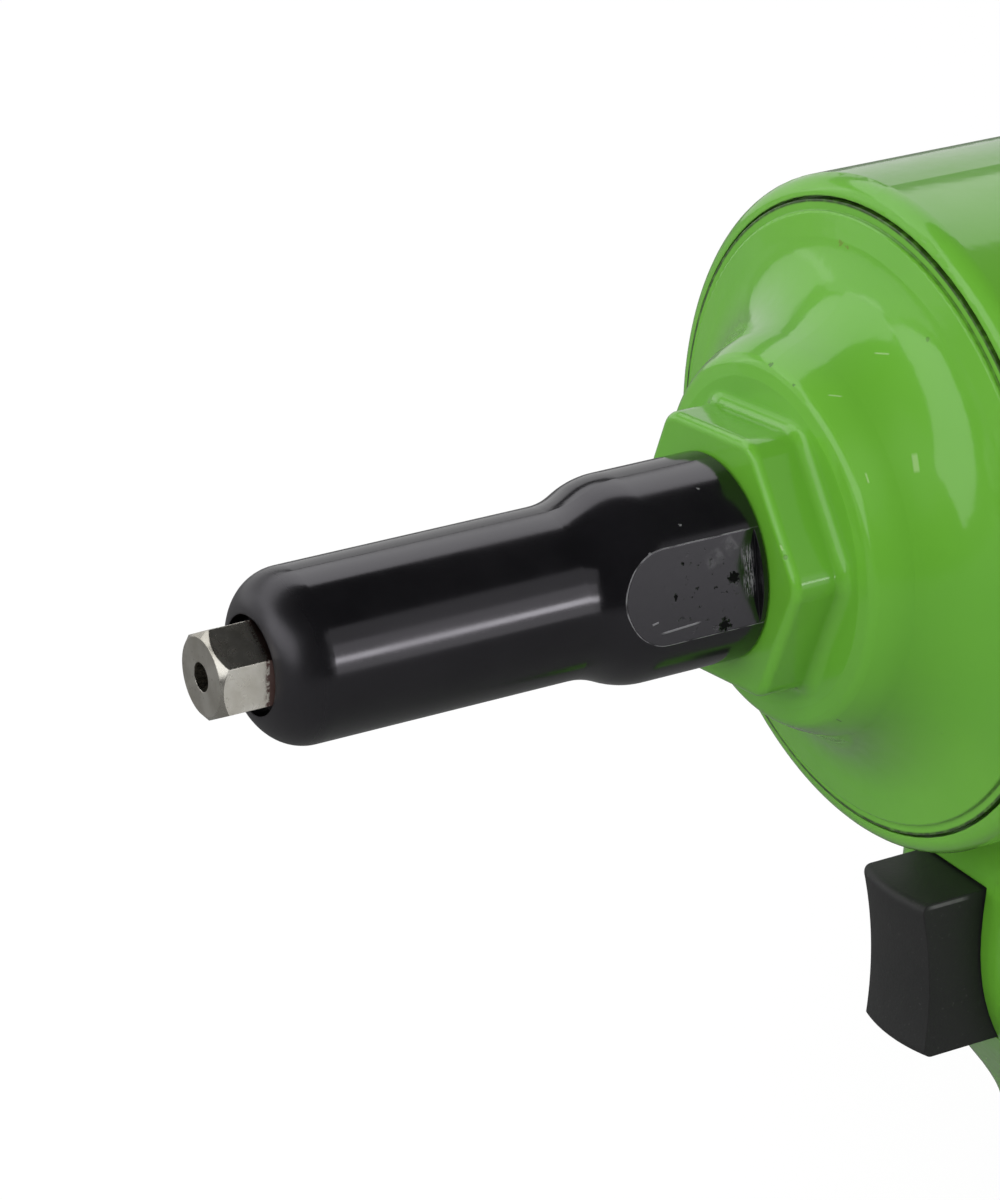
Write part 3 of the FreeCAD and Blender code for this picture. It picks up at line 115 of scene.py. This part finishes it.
def panel(name, azimuth, elevation, across, up, distance, radiance, mirrored=True):
    data = bpy.data.lights.new(name, "AREA")
    data.shape = "RECTANGLE"
    data.size = 2 * distance * math.tan(math.radians(across / 2))
    data.size_y = 2 * distance * math.tan(math.radians(up / 2))
    data.energy = radiance * math.pi * data.size * data.size_y
    light = bpy.data.objects.new(name, data)
    towards = direction(azimuth, elevation)
    light.location = LIT_POINT + towards * distance
    light.rotation_mode = "QUATERNION"
    light.rotation_quaternion = (-towards).to_track_quat("-Z", "Y")
    light.visible_camera = False
    light.visible_glossy = mirrored
    scene.collection.objects.link(light)


def make_lights():
    """Each panel has azimuth and elevation, degrees across and up, distance in metres and radiance."""
    panel("wall_low", -110, 8, 100, 28, 1.3, 0.65)
    panel("wall_high", -100, 46, 110, 34, 1.3, 1.2)
    panel("front_left", -50, 9, 28, 26, 1.2, 0.5)
    panel("front", -2, 17, 60, 30, 1.1, 1.4)
    panel("side_wide", 125, 11, 38, 64, 1.1, 0.33)
    panel("side_middle", 124, 8, 32, 34, 1.1, 0.45)
    panel("side_core", 122, 7, 30, 6, 1.1, 4.2)
    panel("key", 44, 40, 40, 40, 1.2, 4.4, mirrored=False)
    panel("fill", -60, 8, 50, 30, 1.2, 1.9, mirrored=False)


# Node trees. Coordinates are the object's own, in metres, so a pattern moves with its piece.
# Noise and cell scales are therefore per metre. Marks are placed in millimetres.

class Tree:
    def __init__(self, name):
        self.material = bpy.data.materials.new(name)
        self.material.use_nodes = True
        self.tree = self.material.node_tree
        self.shader = self.tree.nodes["Principled BSDF"]
        self.place = self.tree.nodes.new("ShaderNodeTexCoord")
        self.coordinates = self.place.outputs["Object"]
        self.normal = self.place.outputs["Normal"]

    def connect(self, value, socket):
        if isinstance(value, bpy.types.NodeSocket):
            self.tree.links.new(value, socket)
        elif value is not None:
            socket.default_value = value

    def set(self, **values):
        for name, value in values.items():
            self.connect(value, self.shader.inputs[name.replace("_", " ")])

    def math(self, operation, first, second=0.0):
        node = self.tree.nodes.new("ShaderNodeMath")
        node.operation = operation
        self.connect(first, node.inputs[0])
        self.connect(second, node.inputs[1])
        return node.outputs[0]

    def vector(self, operation, first, second=None):
        node = self.tree.nodes.new("ShaderNodeVectorMath")
        node.operation = operation
        self.connect(first, node.inputs[0])
        self.connect(second, node.inputs[1])
        gives_number = operation in ("DOT_PRODUCT", "LENGTH", "DISTANCE")
        return node.outputs["Value" if gives_number else "Vector"]

    def split(self, vector):
        node = self.tree.nodes.new("ShaderNodeSeparateXYZ")
        self.connect(vector, node.inputs[0])
        return node.outputs

    def join(self, x, y, z):
        node = self.tree.nodes.new("ShaderNodeCombineXYZ")
        for value, socket in zip((x, y, z), node.inputs):
            self.connect(value, socket)
        return node.outputs[0]

    def noise(self, scale, detail=2.0, roughness=0.5, vector=None):
        node = self.tree.nodes.new("ShaderNodeTexNoise")
        self.connect(vector or self.coordinates, node.inputs["Vector"])
        node.inputs["Scale"].default_value = scale
        node.inputs["Detail"].default_value = detail
        node.inputs["Roughness"].default_value = roughness
        return node.outputs[0]

    def cells(self, scale):
        node = self.tree.nodes.new("ShaderNodeTexVoronoi")
        self.connect(self.coordinates, node.inputs["Vector"])
        node.inputs["Scale"].default_value = scale
        return node.outputs

    def ramp(self, value, low, high, start=0.0, end=1.0):
        node = self.tree.nodes.new("ShaderNodeMapRange")
        node.interpolation_type = "SMOOTHSTEP"
        self.connect(value, node.inputs["Value"])
        for name, number in (("From Min", low), ("From Max", high), ("To Min", start), ("To Max", end)):
            node.inputs[name].default_value = number
        return node.outputs[0]

    def spread(self, noise, start=0.0, end=1.0):
        """Most of a noise lies between 0.3 and 0.7."""
        return self.ramp(noise, 0.3, 0.7, start, end)

    def fade(self, value, low, high):
        return self.ramp(value, low, high, 1.0, 0.0)

    def band(self, value, start, full, fall, end):
        return self.product(self.ramp(value, start, full), self.fade(value, fall, end))

    def near(self, centre, inner, outer):
        """1 within inner of a point and 0 beyond outer, all in millimetres."""
        distance = self.vector("DISTANCE", self.coordinates, Vector(centre) * MM)
        return self.fade(distance, inner * MM, outer * MM)

    def mix(self, share, first, second):
        node = self.tree.nodes.new("ShaderNodeMix")
        node.data_type = "RGBA"
        self.connect(share, node.inputs["Factor"])
        for value, socket in ((first, node.inputs[6]), (second, node.inputs[7])):
            self.connect(value if isinstance(value, bpy.types.NodeSocket) else (*value, 1.0), socket)
        return node.outputs[2]

    def largest(self, *values):
        result = values[0]
        for value in values[1:]:
            result = self.math("MAXIMUM", result, value)
        return result

    def product(self, *values):
        result = values[0]
        for value in values[1:]:
            result = self.math("MULTIPLY", result, value)
        return result

    def total(self, *values):
        result = values[0]
        for value in values[1:]:
            result = self.math("ADD", result, value)
        return result

    def bump(self, height, distance, strength=1.0, normal=None):
        node = self.tree.nodes.new("ShaderNodeBump")
        node.inputs["Strength"].default_value = strength
        node.inputs["Distance"].default_value = distance
        self.connect(height, node.inputs["Height"])
        self.connect(normal, node.inputs["Normal"])
        return node.outputs[0]

    def soft_edge(self, radius):
        node = self.tree.nodes.new("ShaderNodeBevel")
        node.samples = 6
        node.inputs["Radius"].default_value = radius
        return node.outputs[0]

    def edge_wear(self, radius, low, high, scale):
        geometry = self.tree.nodes.new("ShaderNodeNewGeometry")
        agreement = self.vector("DOT_PRODUCT", self.soft_edge(radius), geometry.outputs["Normal"])
        edge = self.math("SUBTRACT", 1.0, agreement)
        broken = self.math("ADD", edge, self.spread(self.noise(scale, 4.0, 0.6), -0.02, 0.02))
        return self.ramp(broken, low, high)

    def spot(self, centre, radius, ragged=0.5):
        """A small round mark with a ragged rim."""
        distance = self.vector("DISTANCE", self.coordinates, Vector(centre) * MM)
        reach = radius * MM
        rough = self.spread(self.noise(2500.0, 2.0), -ragged * reach, ragged * reach)
        return self.fade(self.math("ADD", distance, rough), 0.6 * reach, reach)

    def dash(self, start, end, width):
        """A straight mark between two points on the surface, thinner towards its ends."""
        first, last = Vector(start) * MM, Vector(end) * MM
        along = (last - first).normalized()
        offset = self.vector("SUBTRACT", self.coordinates, (first + last) / 2)
        run = self.vector("DOT_PRODUCT", offset, along)
        reach = self.vector("LENGTH", offset)
        across = self.math("SQRT", self.math("MAXIMUM", self.math(
            "SUBTRACT", self.product(reach, reach), self.product(run, run)), 0.0))
        half = (last - first).length / 2
        body = self.fade(self.math("ABSOLUTE", run), 0.6 * half, half)
        return self.product(body, self.fade(across, 0.3 * width * MM, 0.6 * width * MM))

    def around(self):
        """Station along the tool's axis, angle around it and distance from it."""
        x, y, z = self.split(self.coordinates)
        radius = self.math("SQRT", self.total(self.product(y, y), self.product(z, z)))
        return x, self.math("ARCTAN2", z, y), radius

    def turned_lines(self, station, radius, scale):
        """Fine lines that a lathe tool leaves, circles about the tool's axis."""
        spread = self.total(station, self.product(radius, 0.37))
        return self.noise(scale, 3.0, 0.7, vector=self.join(spread, 0.0, self.product(radius, 0.9)))


def paint(name):
    """Green paint over a casting, with small nibs under it and a few pinholes."""
    t = Tree(name)
    drift = t.noise(26.0, 2.0)
    cast = t.noise(90.0, 3.0)
    peel = t.noise(520.0, 1.0)
    cell = t.cells(150.0)
    few = t.ramp(t.split(cell["Color"])[0], 0.80, 0.82)
    nib = t.product(t.fade(cell["Distance"], 0.05, 0.11), few)
    pin_cell = t.cells(260.0)
    rare = t.ramp(t.split(pin_cell["Color"])[1], 0.93, 0.94)
    pin = t.product(t.fade(pin_cell["Distance"], 0.06, 0.10), rare)
    base = t.mix(t.spread(drift), PAINT_DEEP, PAINT_LIGHT)
    base = t.mix(t.product(nib, 0.25), base, PAINT_NIB)
    base = t.mix(t.product(pin, 0.45), base, PAINT_PIN)
    return t, base, cast, peel, nib, pin


def finish_paint(t, base, cast, peel, nib, pin, dents):
    normal = t.bump(cast, 0.0004, 0.10, t.soft_edge(0.0003))
    normal = t.bump(peel, 0.00006, 0.30, normal)
    height = t.math("SUBTRACT", t.product(nib, 0.5), t.total(t.product(pin, 0.8), dents))
    normal = t.bump(height, 0.00008, 0.5, normal)
    t.set(Base_Color=base, Roughness=t.spread(t.noise(300.0), 0.34, 0.42), Normal=normal,
          Specular_IOR_Level=0.2, Coat_Weight=1.0, Coat_Roughness=0.10, Coat_IOR=1.5,
          Coat_Normal=normal)
    return t.material


# Where the front cap's raised disc and its rim end, and the angle about which the groove's painted
# shade is strongest
DISC_EDGE = 0.0380
RIM_EDGE = 0.0393
GROOVE_SHADE_ANGLE = math.radians(20.0)


def cap_paint():
    """The front cap has picked up small marks. The groove round its disc is darkened with painted
    shade, strongest on one side.
    """
    t, base, cast, peel, nib, pin = paint("front_cap_paint")
    _, angle, radius = t.around()
    # Painted shade in the groove: at the foot of the disc's step on one side, and in the gap at the rim
    # all round, broken up by noise.
    near_top = t.ramp(t.math("COSINE", t.math("SUBTRACT", angle, GROOVE_SHADE_ANGLE)), 0.1, 0.7)
    foot = t.product(t.band(radius, DISC_EDGE - 0.00005, DISC_EDGE + 0.00003,
                            DISC_EDGE + 0.00015, DISC_EDGE + 0.00030), near_top)
    rim = t.ramp(radius, RIM_EDGE - 0.00045, RIM_EDGE - 0.00020)
    broken = t.ramp(t.noise(600.0, 3.0, 0.6), 0.2, 0.6, 0.40, 0.9)
    groove = t.product(t.largest(t.product(foot, 0.8), rim), broken)
    base = t.mix(groove, base, PAINT_GROOVE_SHADE)
    scuffs = t.largest(
        t.dash((-84.40, 9.28, 25.73), (-85.44, 11.25, 26.06), 0.20),
        t.dash((-77.88, 9.52, 21.83), (-79.16, 10.95, 21.88), 0.20),
        t.dash((-83.14, 19.96, 17.23), (-82.72, 21.32, 15.04), 0.75),
        t.dash((-77.61, 18.12, 15.23), (-77.59, 19.03, 14.05), 0.24),
        t.dash((-68.62, 14.21, 6.64), (-68.67, 14.81, 5.97), 0.28))
    stains = t.largest(t.spot((-88.46, -3.85, 34.57), 0.45), t.spot((-88.43, -2.52, 34.49), 0.35))
    dark = t.largest(t.dash((-76.72, 15.05, -17.51), (-77.48, 15.22, -18.01), 0.30),
                     t.spot((-76.37, -0.12, 22.78), 0.35), t.spot((-76.17, 5.12, 21.93), 0.25))
    base = t.mix(t.product(scuffs, 0.38), base, PAINT_SCUFF)
    base = t.mix(t.product(stains, 0.5), base, PAINT_STAIN)
    base = t.mix(t.product(dark, 0.6), base, PAINT_DENT)
    below = t.dash((-85.81, -0.95, -28.82), (-82.38, 9.58, -24.05), 0.9)
    above = t.dash((-86.63, -23.60, 18.44), (-81.95, -14.91, 20.88), 1.2)
    dents = t.total(t.product(scuffs, 0.6), t.product(dark, 0.8),
                    t.product(below, 1.2), t.product(above, 1.2))
    return finish_paint(t, base, cast, peel, nib, pin, dents)


def housing_paint():
    t, base, cast, peel, nib, pin = paint("housing_paint")
    chip = t.spot((-90.62, 22.71, 30.59), 0.35)
    base = t.mix(t.product(chip, 0.5), base, PAINT_CHIP)
    return finish_paint(t, base, cast, peel, nib, pin, chip)


# The barrel's near wrench flat: its normal and its distance from the axis
FLAT_TURN = math.radians(9.0)
FLAT_NORMAL = Vector((0.0, math.cos(FLAT_TURN), math.sin(FLAT_TURN)))
FLAT_DISTANCE = 0.01135
RUBBED_STATION = -0.0664


def black_oxide():
    """Polished black steel. The near wrench flat has marks from a spanner, a rubbed rim and a painted
    highlight across it.
    """
    t = Tree("black_oxide")
    station, angle, radius = t.around()
    smudge = t.noise(70.0, 4.0, 0.6)
    fine = t.noise(900.0, 3.0, 0.6)
    lines = t.turned_lines(station, radius, 2600.0)

    towards_flat = t.vector("DOT_PRODUCT", t.coordinates, FLAT_NORMAL)
    rim = t.band(towards_flat, FLAT_DISTANCE - 0.00009, FLAT_DISTANCE - 0.00005,
                 FLAT_DISTANCE - 0.000015, FLAT_DISTANCE - 0.000005)
    edge = t.product(rim, t.ramp(t.noise(420.0, 3.0), 0.35, 0.6, 0.15, 1.0))

    from_rubbed = t.math("ABSOLUTE", t.math("SUBTRACT", station, RUBBED_STATION))
    rubbed_place = t.product(t.fade(from_rubbed, 0.0004, 0.0010),
                             t.near((-66.4, 11.0, 2.6), 1.5, 3.8))
    rings = t.noise(5200.0, 3.0, 0.8, vector=t.join(station, t.product(angle, 0.0012), 0.0))
    rubbed = t.product(rubbed_place, t.ramp(rings, 0.46, 0.58))

    # A pale diagonal band across the flat: a painted highlight on a smear, mixed in with the worn
    # steel.
    curve = t.largest(t.dash((-64.96, 10.45, 6.56), (-63.21, 10.62, 5.48), 2.4),
                      t.dash((-63.21, 10.62, 5.48), (-60.49, 10.80, 4.36), 2.0))
    smear_highlight = t.product(curve, t.spread(t.noise(700.0, 4.0)))

    speckle = t.ramp(t.noise(1100.0, 3.0, 0.7), 0.64, 0.68)
    field = t.near((-60.0, 11.3, 1.5), 1.5, 6.0)
    nicks = t.largest(
        t.spot((-64.33, 11.16, 2.12), 0.75, 0.45), t.spot((-62.65, 12.00, -3.20), 0.80, 0.45),
        t.spot((-56.26, 11.25, 1.54), 0.40, 0.5), t.spot((-57.39, 10.66, 5.25), 0.24),
        t.product(speckle, field, 0.7))
    scratches = t.largest(
        t.dash((-52.74, 11.68, -1.18), (-53.78, 11.65, -0.99), 0.26),
        t.dash((-53.66, 11.88, -2.46), (-59.68, 11.83, -2.14), 0.26),
        t.spot((-58.24, 8.77, 9.23), 0.24), t.spot((-62.90, 5.29, 11.59), 0.20),
        t.spot((-53.21, 10.30, 7.24), 0.18))

    matt_front = t.ramp(station, -0.0125, -0.0085)
    # worn mixes real wear with the painted smear highlight.
    worn = t.largest(t.product(edge, 0.55), t.product(rubbed, 0.7),
                     t.product(scratches, 0.45), t.product(smear_highlight, 0.16))
    base = t.mix(t.ramp(smudge, 0.35, 0.65), OXIDE_DEEP, OXIDE_LIGHT)
    base = t.mix(worn, base, BARE_STEEL)
    base = t.mix(nicks, base, OXIDE_NICK)
    roughness = t.total(t.spread(smudge, 0.12, 0.18), t.product(worn, 0.15),
                        t.product(nicks, 0.3), t.product(matt_front, 0.20))
    normal = t.bump(lines, 0.00003, 0.10, t.soft_edge(0.00015))
    normal = t.bump(fine, 0.00002, 0.10, normal)
    normal = t.bump(t.math("SUBTRACT", t.product(worn, 0.3), nicks), 0.00012, 0.8, normal)
    t.set(Base_Color=base, Roughness=roughness, Normal=normal,
          Specular_IOR_Level=t.ramp(nicks, 0.0, 1.0, 0.95, 0.1), Specular_Tint=OXIDE_TINT)
    return t.material


# Where painted shade starts on the nosepiece's rear end next to the barrel, and where it is all dark
REAR_SHADE_START = -0.0054
REAR_SHADE_FULL = -0.0062


def nickel():
    """Plated nosepiece: the face is turned, the near flat is satin and the others are polished. Its
    rear end next to the barrel is darkened with reddish painted shade.
    """
    t = Tree("nickel")
    station, _, radius = t.around()
    facing_x, facing_y, _ = t.split(t.normal)
    on_face = t.ramp(facing_x, 0.93, 0.97)
    satin = t.product(t.ramp(facing_y, 0.93, 0.97), t.ramp(radius, 0.0035, 0.0045))
    waves = t.noise(420.0, 3.0, 0.55)
    pits = t.cells(1500.0)
    few = t.ramp(t.split(pits["Color"])[0], 0.82, 0.84)
    pit = t.product(t.fade(pits["Distance"], 0.10, 0.22), few)
    rings = t.noise(1.0, 2.0, 0.6, vector=t.join(t.product(radius, 9000.0), 0.0, 0.0))
    shade_patches = t.ramp(t.noise(1500.0, 4.0, 0.7), 0.42, 0.56)
    # Painted shade on the rear end, where the nosepiece meets the barrel: patchy at first, then full.
    painted_shade = t.largest(t.product(t.fade(station, REAR_SHADE_START - 0.0004, REAR_SHADE_START), shade_patches),
                        t.fade(station, REAR_SHADE_FULL, REAR_SHADE_FULL + 0.0003))
    base = t.mix(t.spread(t.noise(300.0, 3.0, 0.6)), NICKEL_DEEP, NICKEL_LIGHT)
    base = t.mix(t.product(painted_shade, 0.9), base, NICKEL_REAR_SHADE)
    base = t.mix(t.product(pit, 0.5), base, NICKEL_PIT)
    roughness = t.total(t.spread(waves, 0.22, 0.30), t.product(on_face, 0.12),
                        t.product(painted_shade, 0.3))
    normal = t.bump(waves, 0.00010, 0.35, t.soft_edge(0.00018))
    normal = t.bump(t.product(rings, on_face), 0.00003, 0.5, normal)
    normal = t.bump(pit, 0.00004, -0.5, normal)
    t.set(Base_Color=base, Metallic=t.ramp(satin, 0.0, 1.0, 1.0, 0.4), Roughness=roughness,
          Normal=normal)
    return t.material


def plastic(name, dark, pale, grain, roughness, rubbed=None):
    """Moulded plastic with a fine grain. An edge given by two points in rubbed gets a pale line painted
    as a highlight.
    """
    t = Tree(name)
    texture = t.cells(grain)["Distance"]
    cloud = t.noise(60.0, 3.0)
    dust = t.ramp(t.noise(1400.0, 4.0, 0.7), 0.62, 0.70)
    base = t.mix(t.spread(cloud), dark, pale)
    base = t.mix(t.product(dust, 0.12), base, DUST)
    rough = t.total(t.spread(cloud, roughness - 0.04, roughness + 0.04), t.product(dust, 0.1))
    if rubbed:
        # Painted highlight: a pale line along the given edge.
        broken = t.ramp(t.noise(500.0), 0.3, 0.6, 0.2, 0.7)
        base = t.mix(t.product(t.dash(*rubbed, 0.6), broken), base, PLASTIC_EDGE_HIGHLIGHT)
    normal = t.bump(texture, 0.00003, 0.30, t.soft_edge(0.0003))
    normal = t.bump(t.noise(200.0, 2.0), 0.00010, 0.10, normal)
    t.set(Base_Color=base, Roughness=rough, Normal=normal, Specular_IOR_Level=0.45)
    return t.material


def metal(name, dark, pale, roughness, lines=3000.0, depth=0.00003, metallic=1.0):
    """Machined metal with circular tool lines about the tool's axis."""
    t = Tree(name)
    station, _, radius = t.around()
    turned = t.turned_lines(station, radius, lines)
    cloud = t.noise(120.0, 3.0)
    base = t.mix(t.spread(cloud), dark, pale)
    rough = t.total(t.spread(cloud, roughness - 0.05, roughness + 0.05),
                    t.spread(turned, -0.04, 0.04))
    normal = t.bump(turned, depth, 0.5, t.soft_edge(0.00015))
    t.set(Base_Color=base, Metallic=metallic, Roughness=rough, Normal=normal)
    return t.material


def rubber():
    t = Tree("seal_rubber")
    bloom = t.ramp(t.noise(500.0, 4.0), 0.4, 0.7)
    base = t.mix(t.product(bloom, 0.3), RUBBER, RUBBER_BLOOM)
    t.set(Base_Color=base, Roughness=t.ramp(bloom, 0.0, 1.0, 0.45, 0.62),
          Normal=t.bump(t.noise(1200.0, 3.0), 0.00003, 0.3))
    return t.material


def sintered():
    """Bronze beads pressed together, with painted shade in the pores between them."""
    t = Tree("sintered_bronze")
    bead = t.cells(1700.0)["Distance"]
    # Painted shade darkens the pores between the beads.
    base = t.mix(t.ramp(bead, 0.35, 0.55), BRONZE, BRONZE_PORE_SHADE)
    t.set(Base_Color=base, Metallic=1.0, Roughness=t.ramp(bead, 0.0, 0.6, 0.35, 0.6),
          Normal=t.bump(bead, 0.0003, -0.8))
    return t.material


def zinc():
    """Bright zinc plate on the milled hexagon of the air inlet, with faint yellow and blue casts."""
    t = Tree("inlet_steel")
    x, y, z = t.split(t.coordinates)
    milled = t.noise(2600.0, 3.0, 0.7, vector=t.join(t.product(x, 0.05), t.product(y, 0.05), z))
    cast = t.noise(45.0, 2.0)
    base = t.mix(t.ramp(cast, 0.35, 0.65), ZINC_YELLOW, ZINC_BLUE)
    worn = t.edge_wear(0.0003, 0.03, 0.14, 800.0)
    base = t.mix(t.product(worn, 0.6), base, ZINC_WORN)
    rough = t.total(t.spread(milled, 0.24, 0.34), t.product(worn, -0.06))
    normal = t.bump(milled, 0.00003, 0.5, t.soft_edge(0.0002))
    t.set(Base_Color=base, Metallic=1.0, Roughness=rough, Normal=normal)
    return t.material


# The trigger's near top edge, where a pale line is painted as the highlight of its rounding
TRIGGER_HIGHLIGHT_EDGE = ((-97.0, 6.8, -52.2), (-104.0, 6.8, -52.2))


def dress_nodes():
    steel = metal("tool_steel", (0.36, 0.36, 0.37), (0.46, 0.46, 0.47), 0.30)
    aluminium = metal("piston_aluminium", (0.62, 0.63, 0.64), (0.74, 0.745, 0.75), 0.30, 2200.0)
    seal = rubber()
    spring = metal("spring_steel", (0.20, 0.20, 0.21), (0.30, 0.30, 0.31), 0.34, 5000.0)
    looks = {
        "nosepiece": nickel(),
        "nose_barrel": black_oxide(),
        "front_cap": cap_paint(),
        "housing": housing_paint(),
        "rear_cap": finish_paint(*paint("rear_cap_paint"), 0.0),
        "trigger": plastic("trigger_plastic", (0.0140, 0.0145, 0.0145), (0.0170, 0.0172, 0.0172),
                           2300.0, 0.50, TRIGGER_HIGHLIGHT_EDGE),
        "handle_base": plastic("base_plastic", (0.022, 0.022, 0.023), (0.032, 0.032, 0.033),
                               1800.0, 0.58),
        "mandrel_collector": plastic("collector_plastic", (0.018, 0.018, 0.019),
                                     (0.026, 0.026, 0.027), 1500.0, 0.46),
        "air_inlet": zinc(),
        "muffler": sintered(),
        "base_screws": metal("screw_steel", (0.020, 0.020, 0.022), (0.045, 0.045, 0.048), 0.32,
                             4000.0, 0.00002, 0.6),
        "valve_stem": metal("valve_brass", (0.62, 0.43, 0.18), (0.74, 0.55, 0.26), 0.24),
    }
    looks["valve_bushing"] = looks["valve_stem"]
    for name in ("return_spring", "jaw_spring", "valve_spring", "partition_ring"):
        looks[name] = spring
    for name in ("front_piston", "rear_piston", "partition_wall", "piston_spacer"):
        looks[name] = aluminium
    for name, node in nodes.items():
        material = looks.get(name, seal if name.endswith("seal") else steel)
        for place in node.material_slots:
            place.material = material


# Threads that the solids leave plain

RIDGE_STEPS = 48
RIDGE_PROFILE = ((-0.42, 0.0), (-0.08, 1.0), (0.08, 1.0), (0.42, 0.0))
RIDGE_FOOT = 5.78 * MM
RIDGE_HEIGHT = -0.34 * MM
PITCH = 1.337 * MM
THREAD_START = 2.0 * MM
THREAD_END = 11.6 * MM


def thread_ridge(name, low, high, centre, body, material):
    """A helical ridge about an upright axis, standing inwards and running out at both ends."""
    mesh = bmesh.new()
    count = int((high - low) / PITCH * RIDGE_STEPS)
    rings = []
    for index in range(count + 1):
        angle = 2 * math.pi * index / RIDGE_STEPS
        level = low + PITCH * index / RIDGE_STEPS
        run_out = min(1.0, 2 * index / RIDGE_STEPS, 2 * (count - index) / RIDGE_STEPS)
        ring = []
        for rise, out in RIDGE_PROFILE:
            reach = RIDGE_FOOT + RIDGE_HEIGHT * out * run_out
            ring.append(mesh.verts.new((centre.x + reach * math.cos(angle),
                                        centre.y + reach * math.sin(angle), level + PITCH * rise)))
        rings.append(ring)
    for first, second in zip(rings, rings[1:]):
        for side in range(3):
            mesh.faces.new((first[side], second[side], second[side + 1], first[side + 1]))
        mesh.faces.new((first[3], second[3], second[0], first[0]))
    mesh.faces.new(rings[0][::-1])
    mesh.faces.new(rings[-1])
    bmesh.ops.recalc_face_normals(mesh, faces=mesh.faces)
    data = bpy.data.meshes.new(name)
    mesh.to_mesh(data)
    mesh.free()
    data.shade_smooth()
    data.set_sharp_from_angle(angle=math.radians(40))
    data.materials.append(material)
    ridge = bpy.data.objects.new(name, data)
    scene.collection.objects.link(ridge)
    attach(ridge, body)


def make_threads():
    inlet_low, inlet_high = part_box("air_inlet")
    thread_ridge("inlet_thread", inlet_low.z + THREAD_START, inlet_low.z + THREAD_END,
                 (inlet_low + inlet_high) / 2, "housing", nodes["air_inlet"].material_slots[0].material)


# Floor and surroundings

FLOOR_HALF = 6.0
FLOOR_GAP = 0.0005
FLOOR_SHADE = 0.62
FLOOR_MIRRORED = 0.19
PAPER = 0.95
PAPER_GLOW = 1.03
GLOW_SHARE = 0.86
SKY = 0.18
SKY_MIRRORED = 0.04


def grey(level):
    return (level, level, level, 1.0)


def seen_by_ray(tree, kind, plain, other):
    """A colour that is plain for most rays and other for one kind of ray."""
    rays = tree.nodes.new("ShaderNodeLightPath")
    choice = tree.nodes.new("ShaderNodeMix")
    choice.data_type = "RGBA"
    tree.links.new(rays.outputs[kind], choice.inputs["Factor"])
    for value, socket in ((plain, choice.inputs[6]), (other, choice.inputs[7])):
        if isinstance(value, bpy.types.NodeSocket):
            tree.links.new(value, socket)
        else:
            socket.default_value = value
    return choice.outputs[2]


def make_floor():
    """Pale floor. The camera sees it as nearly white paper that still takes the tool's shadow."""
    half, level = FLOOR_HALF, cad_low.z - FLOOR_GAP
    data = bpy.data.meshes.new("floor")
    data.from_pydata([(-half, -half, level), (half, -half, level), (half, half, level),
                      (-half, half, level)], [], [(0, 1, 2, 3)])
    floor = bpy.data.objects.new("floor", data)
    scene.collection.objects.link(floor)
    material = bpy.data.materials.new("floor")
    material.use_nodes = True
    tree = material.node_tree
    tree.nodes.remove(tree.nodes["Principled BSDF"])
    matt = tree.nodes.new("ShaderNodeBsdfDiffuse")
    shade = seen_by_ray(tree, "Is Glossy Ray", grey(FLOOR_SHADE), grey(FLOOR_MIRRORED))
    tree.links.new(shade, matt.inputs["Color"])
    paper = tree.nodes.new("ShaderNodeBsdfDiffuse")
    paper.inputs["Color"].default_value = grey(PAPER)
    glow = tree.nodes.new("ShaderNodeEmission")
    glow.inputs["Strength"].default_value = PAPER_GLOW
    seen = tree.nodes.new("ShaderNodeMixShader")
    seen.inputs[0].default_value = GLOW_SHARE
    tree.links.new(paper.outputs[0], seen.inputs[1])
    tree.links.new(glow.outputs[0], seen.inputs[2])
    rays = tree.nodes.new("ShaderNodeLightPath")
    blend = tree.nodes.new("ShaderNodeMixShader")
    tree.links.new(rays.outputs["Is Camera Ray"], blend.inputs[0])
    tree.links.new(matt.outputs[0], blend.inputs[1])
    tree.links.new(seen.outputs[0], blend.inputs[2])
    tree.links.new(blend.outputs[0], tree.nodes["Material Output"].inputs["Surface"])
    data.materials.append(material)


def make_world():
    """White behind the tool for the camera, dim for light and dimmer in reflections."""
    world = bpy.data.worlds.new("studio")
    world.use_nodes = True
    tree = world.node_tree
    sky = seen_by_ray(tree, "Is Glossy Ray", grey(SKY), grey(SKY_MIRRORED))
    white = seen_by_ray(tree, "Is Camera Ray", sky, grey(1.0))
    tree.links.new(white, tree.nodes["Background"].inputs["Color"])
    scene.world = world


make_camera()
make_world()
make_lights()
dress_nodes()
make_threads()
make_floor()
scene.view_settings.view_transform = "Standard"
